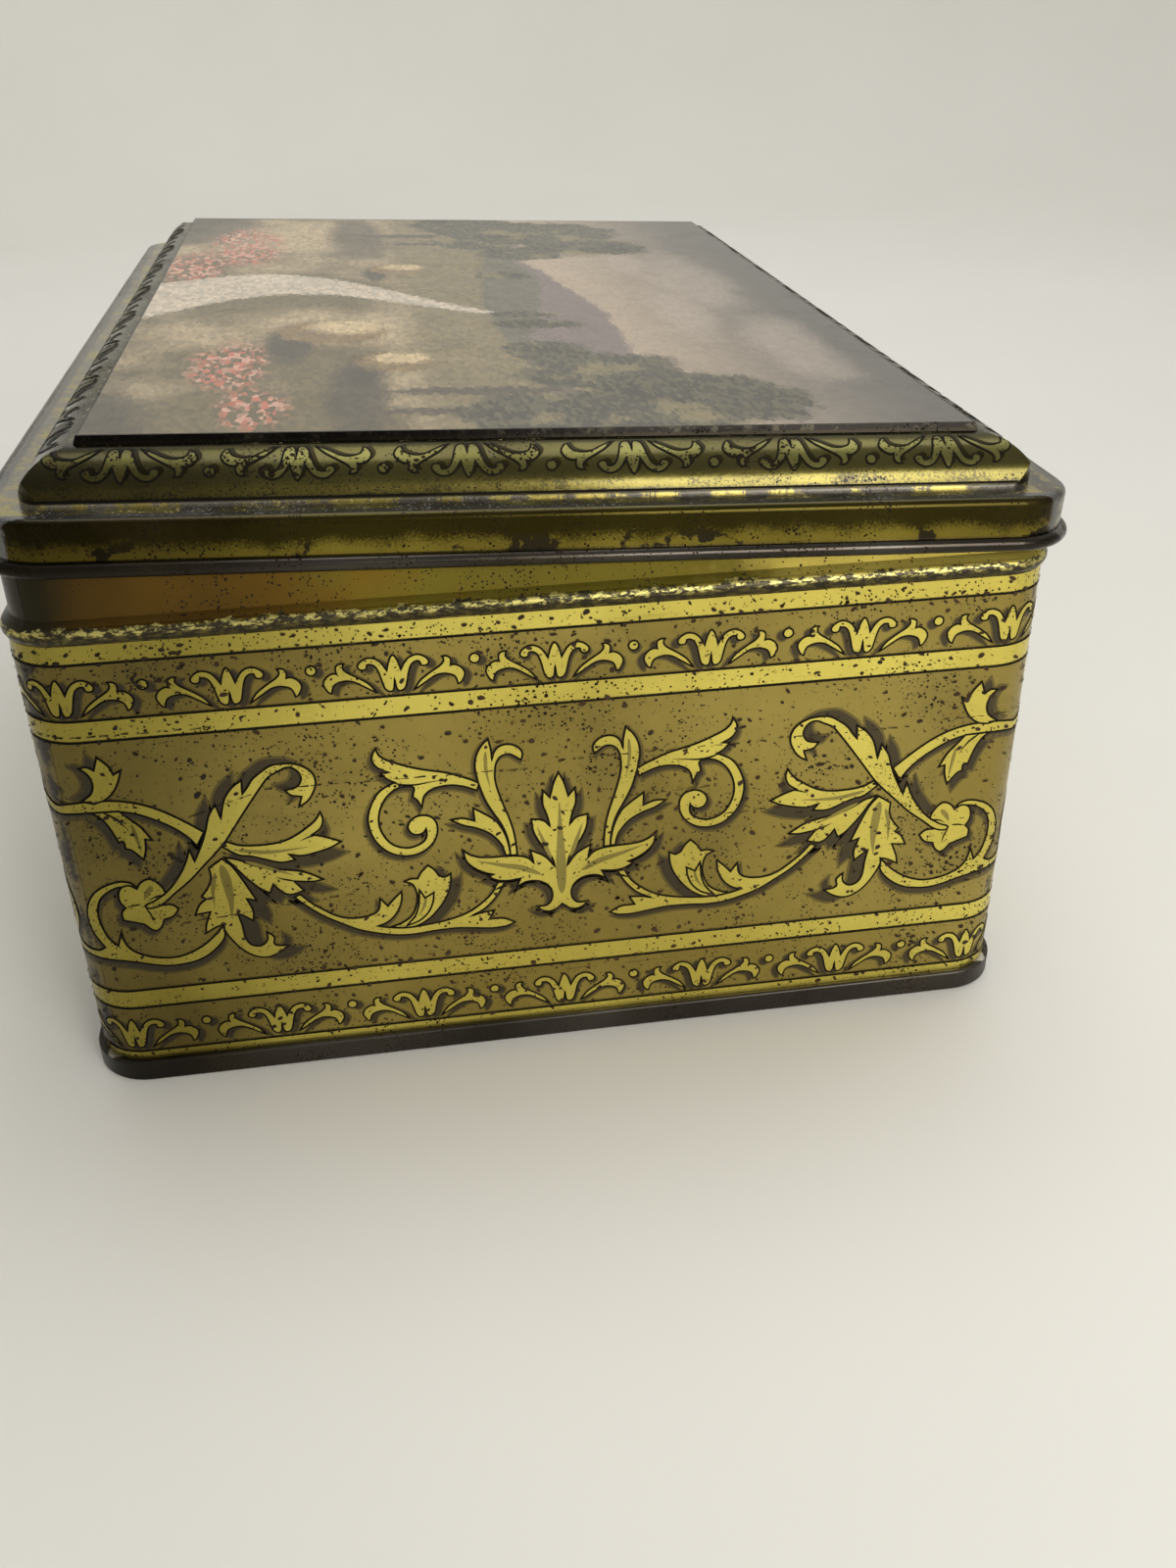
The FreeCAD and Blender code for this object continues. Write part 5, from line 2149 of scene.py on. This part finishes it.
    def fields(self, canvas: Canvas, colour: Socket) -> Socket:
        """Paint the meadow and the lane that bends through it.

        Args:
            canvas: the picture being painted.
            colour: what lies behind.

        Returns:
            The colour.
        """
        kit, place = canvas.kit, canvas.place
        broad = kit.noise(canvas.spot, 24.0, 3.0)
        meadow = kit.mix(kit.step(broad, 0.42, 0.6), (0.135, 0.102, 0.042), (0.44, 0.335, 0.195))
        colour = kit.mix(kit.ramp(canvas.up, self.meadow), colour, meadow)
        bend = kit.math("SINE", kit.plus(kit.times(place["Y"], 62.0), 0.9))
        middle = kit.plus(kit.times(bend, 16.0 * MM), 6.0 * MM)
        aside = kit.math("ABSOLUTE", kit.minus(place["X"], middle))
        half = kit.times(kit.minus(6.0 * MM, place["Y"]), 0.24)
        lane = kit.times(kit.ramp(kit.minus(half, aside), self.lane_edge), kit.ramp(canvas.up, self.lane_top))
        return kit.mix(lane, colour, kit.mix(canvas.close, (0.44, 0.355, 0.26), (0.70, 0.60, 0.47)))

    def hay(self, canvas: Canvas, colour: Socket) -> Socket:
        """Paint round hay ricks, light on one side, each with its shadow.

        Args:
            canvas: the picture being painted.
            colour: what lies behind.

        Returns:
            The colour.
        """
        kit = canvas.kit
        still = kit.times(canvas.ripple, 0.25)
        shades = [rick.beside(1.0, -0.75, 1.5, 0.4) for rick in self.ricks]
        lights = [rick.beside(-0.4, 0.25, 0.55, 0.7) for rick in self.ricks]
        colour = kit.mix(self.masses(canvas, shades, still, 0.3), colour, (0.055, 0.04, 0.022))
        colour = kit.mix(self.masses(canvas, self.ricks, still, 0.1), colour, (0.23, 0.15, 0.06))
        return kit.mix(self.masses(canvas, lights, still, 0.3), colour, (0.58, 0.44, 0.24))

    def growth(self, canvas: Canvas, colour: Socket) -> Socket:
        """Paint shade, trees and flowers.

        Args:
            canvas: the picture being painted.
            colour: what lies behind.

        Returns:
            The colour.
        """
        kit, tint, ripple = canvas.kit, canvas.tint, canvas.ripple
        dark = kit.times(self.masses(canvas, self.shade, ripple, 0.4), 0.8)
        colour = kit.mix(dark, colour, (0.04, 0.030, 0.017))
        leaves = kit.mix(kit.step(tint[0], 0.35, 0.75), (0.028, 0.024, 0.012), (0.085, 0.074, 0.034))
        leaves = kit.mix(kit.times(kit.step(canvas.close, 0.52, 0.66), 0.8), leaves, (0.235, 0.187, 0.08))
        trunks = self.masses(canvas, self.trunks, kit.times(ripple, 0.4), 0.2)
        colour = kit.mix(trunks, colour, (0.07, 0.048, 0.027))
        colour = kit.mix(self.masses(canvas, self.trees, ripple, 0.12), colour, leaves)
        blooms = kit.times(self.masses(canvas, self.blooms, ripple, 0.3), kit.step(tint[1], 0.30, 0.62))
        petals = kit.mix(kit.step(tint[2], 0.4, 0.6), (0.44, 0.125, 0.07), (0.55, 0.30, 0.22))
        return kit.mix(blooms, colour, petals)

    def finish(self) -> Material:
        """Paint the picture from back to front.

        Returns:
            The painted surface.
        """
        surface = self.finishes.start("lid_picture", VARNISH)
        kit, canvas = surface.kit, self.canvas(surface)
        colour = self.fields(canvas, self.distance(canvas))
        colour = self.growth(canvas, self.hay(canvas, colour))
        spread = kit.mix(canvas.tint[1], (0.74, 0.74, 0.74), (1.24, 1.22, 1.18))
        calm = kit.minus(1.0, kit.times(kit.step(canvas.up, 0.004, 0.022), 0.6))
        colour = kit.mix(calm, colour, kit.mix(1.0, colour, spread, "MULTIPLY"))
        colour = kit.mix(surface.wear["Specks"], colour, (0.04, 0.032, 0.02))
        return self.finishes.close(surface, VARNISH, colour)

    def build(self) -> None:
        """Lay the picture on the flat panel."""
        half_x = SIZES.lid_half_length - SIZES.panel_inset - self.edge
        half_y = SIZES.lid_half_width - SIZES.panel_inset - self.edge
        mesh = bmesh.new()
        bmesh.ops.create_grid(mesh, x_segments=self.cells[0], y_segments=self.cells[1], size=1.0)
        for vertex in mesh.verts:
            x, y = vertex.co.x * half_x, vertex.co.y * half_y
            vertex.co = open_lid(Vector((x, y + SIZES.lid_shift, SIZES.panel + self.lift)))
        piece = as_object(mesh, "lid_picture", self.finish())
        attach(piece, "lid")
        LOG.info("lid print: %s", piece.name)


@dataclass(frozen=True)
class AreaLight:
    """A soft square light aimed at a point, in metres, watts and degrees."""

    name: str
    place: Colour
    aim: Colour
    size: float
    power: float
    colour: Colour
    spread: float

    def build(self) -> None:
        """Hang the light."""
        data = bpy.data.lights.new(self.name, "AREA")
        data.spread = math.radians(self.spread)
        data.shape = "SQUARE"
        data.size = self.size
        data.energy = self.power
        data.color = self.colour
        light = bpy.data.objects.new(self.name, data)
        light.location = self.place
        light.visible_camera = False
        light.rotation_euler = (Vector(self.aim) - Vector(self.place)).to_track_quat("-Z", "Y").to_euler()
        bpy.context.scene.collection.objects.link(light)


@dataclass
class Studio:
    """Floor, light and the photo's camera; lengths in metres unless a comment says otherwise."""

    focal_pixels: float = 1444.07
    frame_pixels: float = 1600.0
    sensor: float = 36.0
    camera_place: Colour = (309.71, -23.83, 164.0)  # millimetres
    yaw: float = math.radians(8.346)
    pitch: float = math.radians(30.069)
    roll: float = math.radians(-1.042)
    floor_radius: float = 0.85
    sweep: float = 0.35
    sweep_steps: int = 12
    back_top: float = 0.8
    sides: int = 96
    floor_tones: tuple[Colour, Colour] = ((0.67, 0.65, 0.595), (0.72, 0.70, 0.645))
    sky_tones: tuple[Colour, Colour] = ((0.22, 0.22, 0.225), (0.90, 0.90, 0.89))
    bright_way: Colour = (-0.62, 0.62, 0.48)
    sky_strength: float = 0.8
    lights: tuple[AreaLight, ...] = (
        AreaLight("window", (0.62, 0.27, 0.25), (0.15, 0.13, 0.02), 0.32, 0.56, (1.0, 0.985, 0.96), 75.0),
        AreaLight("ceiling", (-0.35, 0.15, 1.1), (-0.62, 0.0, 0.15), 0.9, 7.0, (0.97, 0.985, 1.0), 180.0),
    )

    def camera(self) -> None:
        """Set the camera where the photo was taken from."""
        data = bpy.data.cameras.new("camera")
        data.lens = self.focal_pixels / self.frame_pixels * self.sensor
        data.sensor_width = self.sensor
        data.clip_start = 0.01
        camera = bpy.data.objects.new("camera", data)
        bpy.context.scene.collection.objects.link(camera)
        level = math.cos(self.pitch)
        forward = Vector((-math.cos(self.yaw) * level, math.sin(self.yaw) * level, -math.sin(self.pitch)))
        right = forward.cross(Vector((0, 0, 1))).normalized()
        up = right.cross(forward)
        turned = math.cos(self.roll) * right + math.sin(self.roll) * up
        upright = -math.sin(self.roll) * right + math.cos(self.roll) * up
        rows = Matrix((turned, upright, -forward)).transposed().to_4x4()
        camera.matrix_world = Matrix.Translation(Vector(self.camera_place) * MM) @ rows
        bpy.context.scene.camera = camera

    def floor_mesh(self) -> Mesh:
        """Turn the floor's outline round the box.

        Returns:
            A round floor that sweeps up all round.
        """
        line = [(self.floor_radius * share, 0.0) for share in (0.25, 0.5, 0.75)]
        for k in range(self.sweep_steps + 1):
            turn = math.pi / 2 * k / self.sweep_steps
            line.append((self.floor_radius + self.sweep * math.sin(turn), self.sweep * (1 - math.cos(turn))))
        line.append((self.floor_radius + self.sweep, self.back_top))
        mesh = bmesh.new()
        turns = [math.tau * k / self.sides for k in range(self.sides)]
        rows = [[mesh.verts.new((r * math.cos(t), r * math.sin(t), z)) for t in turns] for r, z in line]
        mesh.faces.new(rows[0])
        for inner, outer in zip(rows, rows[1:]):
            for k in range(self.sides):
                after = (k + 1) % self.sides
                mesh.faces.new((inner[k], outer[k], outer[after], inner[after])).smooth = True
        return mesh

    def floor(self) -> None:
        """Lay the plain pale floor."""
        material = bpy.data.materials.new("pale_floor")
        material.use_nodes = True
        kit = NodeTree(material.node_tree)
        vector = kit.add("ShaderNodeTexCoord").outputs["Object"]
        shader = material.node_tree.nodes["Principled BSDF"]
        kit.feed(shader.inputs["Base Color"], kit.mix(kit.noise(vector, 9.0, 4.0), *self.floor_tones))
        shader.inputs["Roughness"].default_value = 0.9
        as_object(self.floor_mesh(), "floor", material)

    def world(self) -> None:
        """Set pale surroundings that are darker behind the camera."""
        world = bpy.data.worlds.new("studio")
        bpy.context.scene.world = world
        world.use_nodes = True
        kit = NodeTree(world.node_tree)
        sky = world.node_tree.nodes["Background"]
        way = kit.add("ShaderNodeTexCoord").outputs["Generated"]
        lean = kit.vectors("DOT_PRODUCT", way, tuple(Vector(self.bright_way).normalized()))["Value"]
        kit.feed(sky.inputs["Color"], kit.mix(kit.step(lean, -0.9, 0.9), *self.sky_tones))
        sky.inputs["Strength"].default_value = self.sky_strength

    def build(self) -> None:
        """Set up the studio."""
        self.camera()
        self.floor()
        self.world()
        for light in self.lights:
            light.build()
        bpy.context.scene.view_settings.view_transform = "Standard"


def main() -> None:
    """Build the scene."""
    logging.basicConfig(level=logging.INFO, format="%(message)s")
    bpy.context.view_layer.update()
    finishes = Finishes()
    Walls(finishes).build()
    prints = WallPrint(finishes, Repeater(), RustScatter())
    prints.build()
    Lid(finishes, prints).build()
    LidPicture(finishes).build()
    Studio().build()


if __name__ == "__main__":
    main()
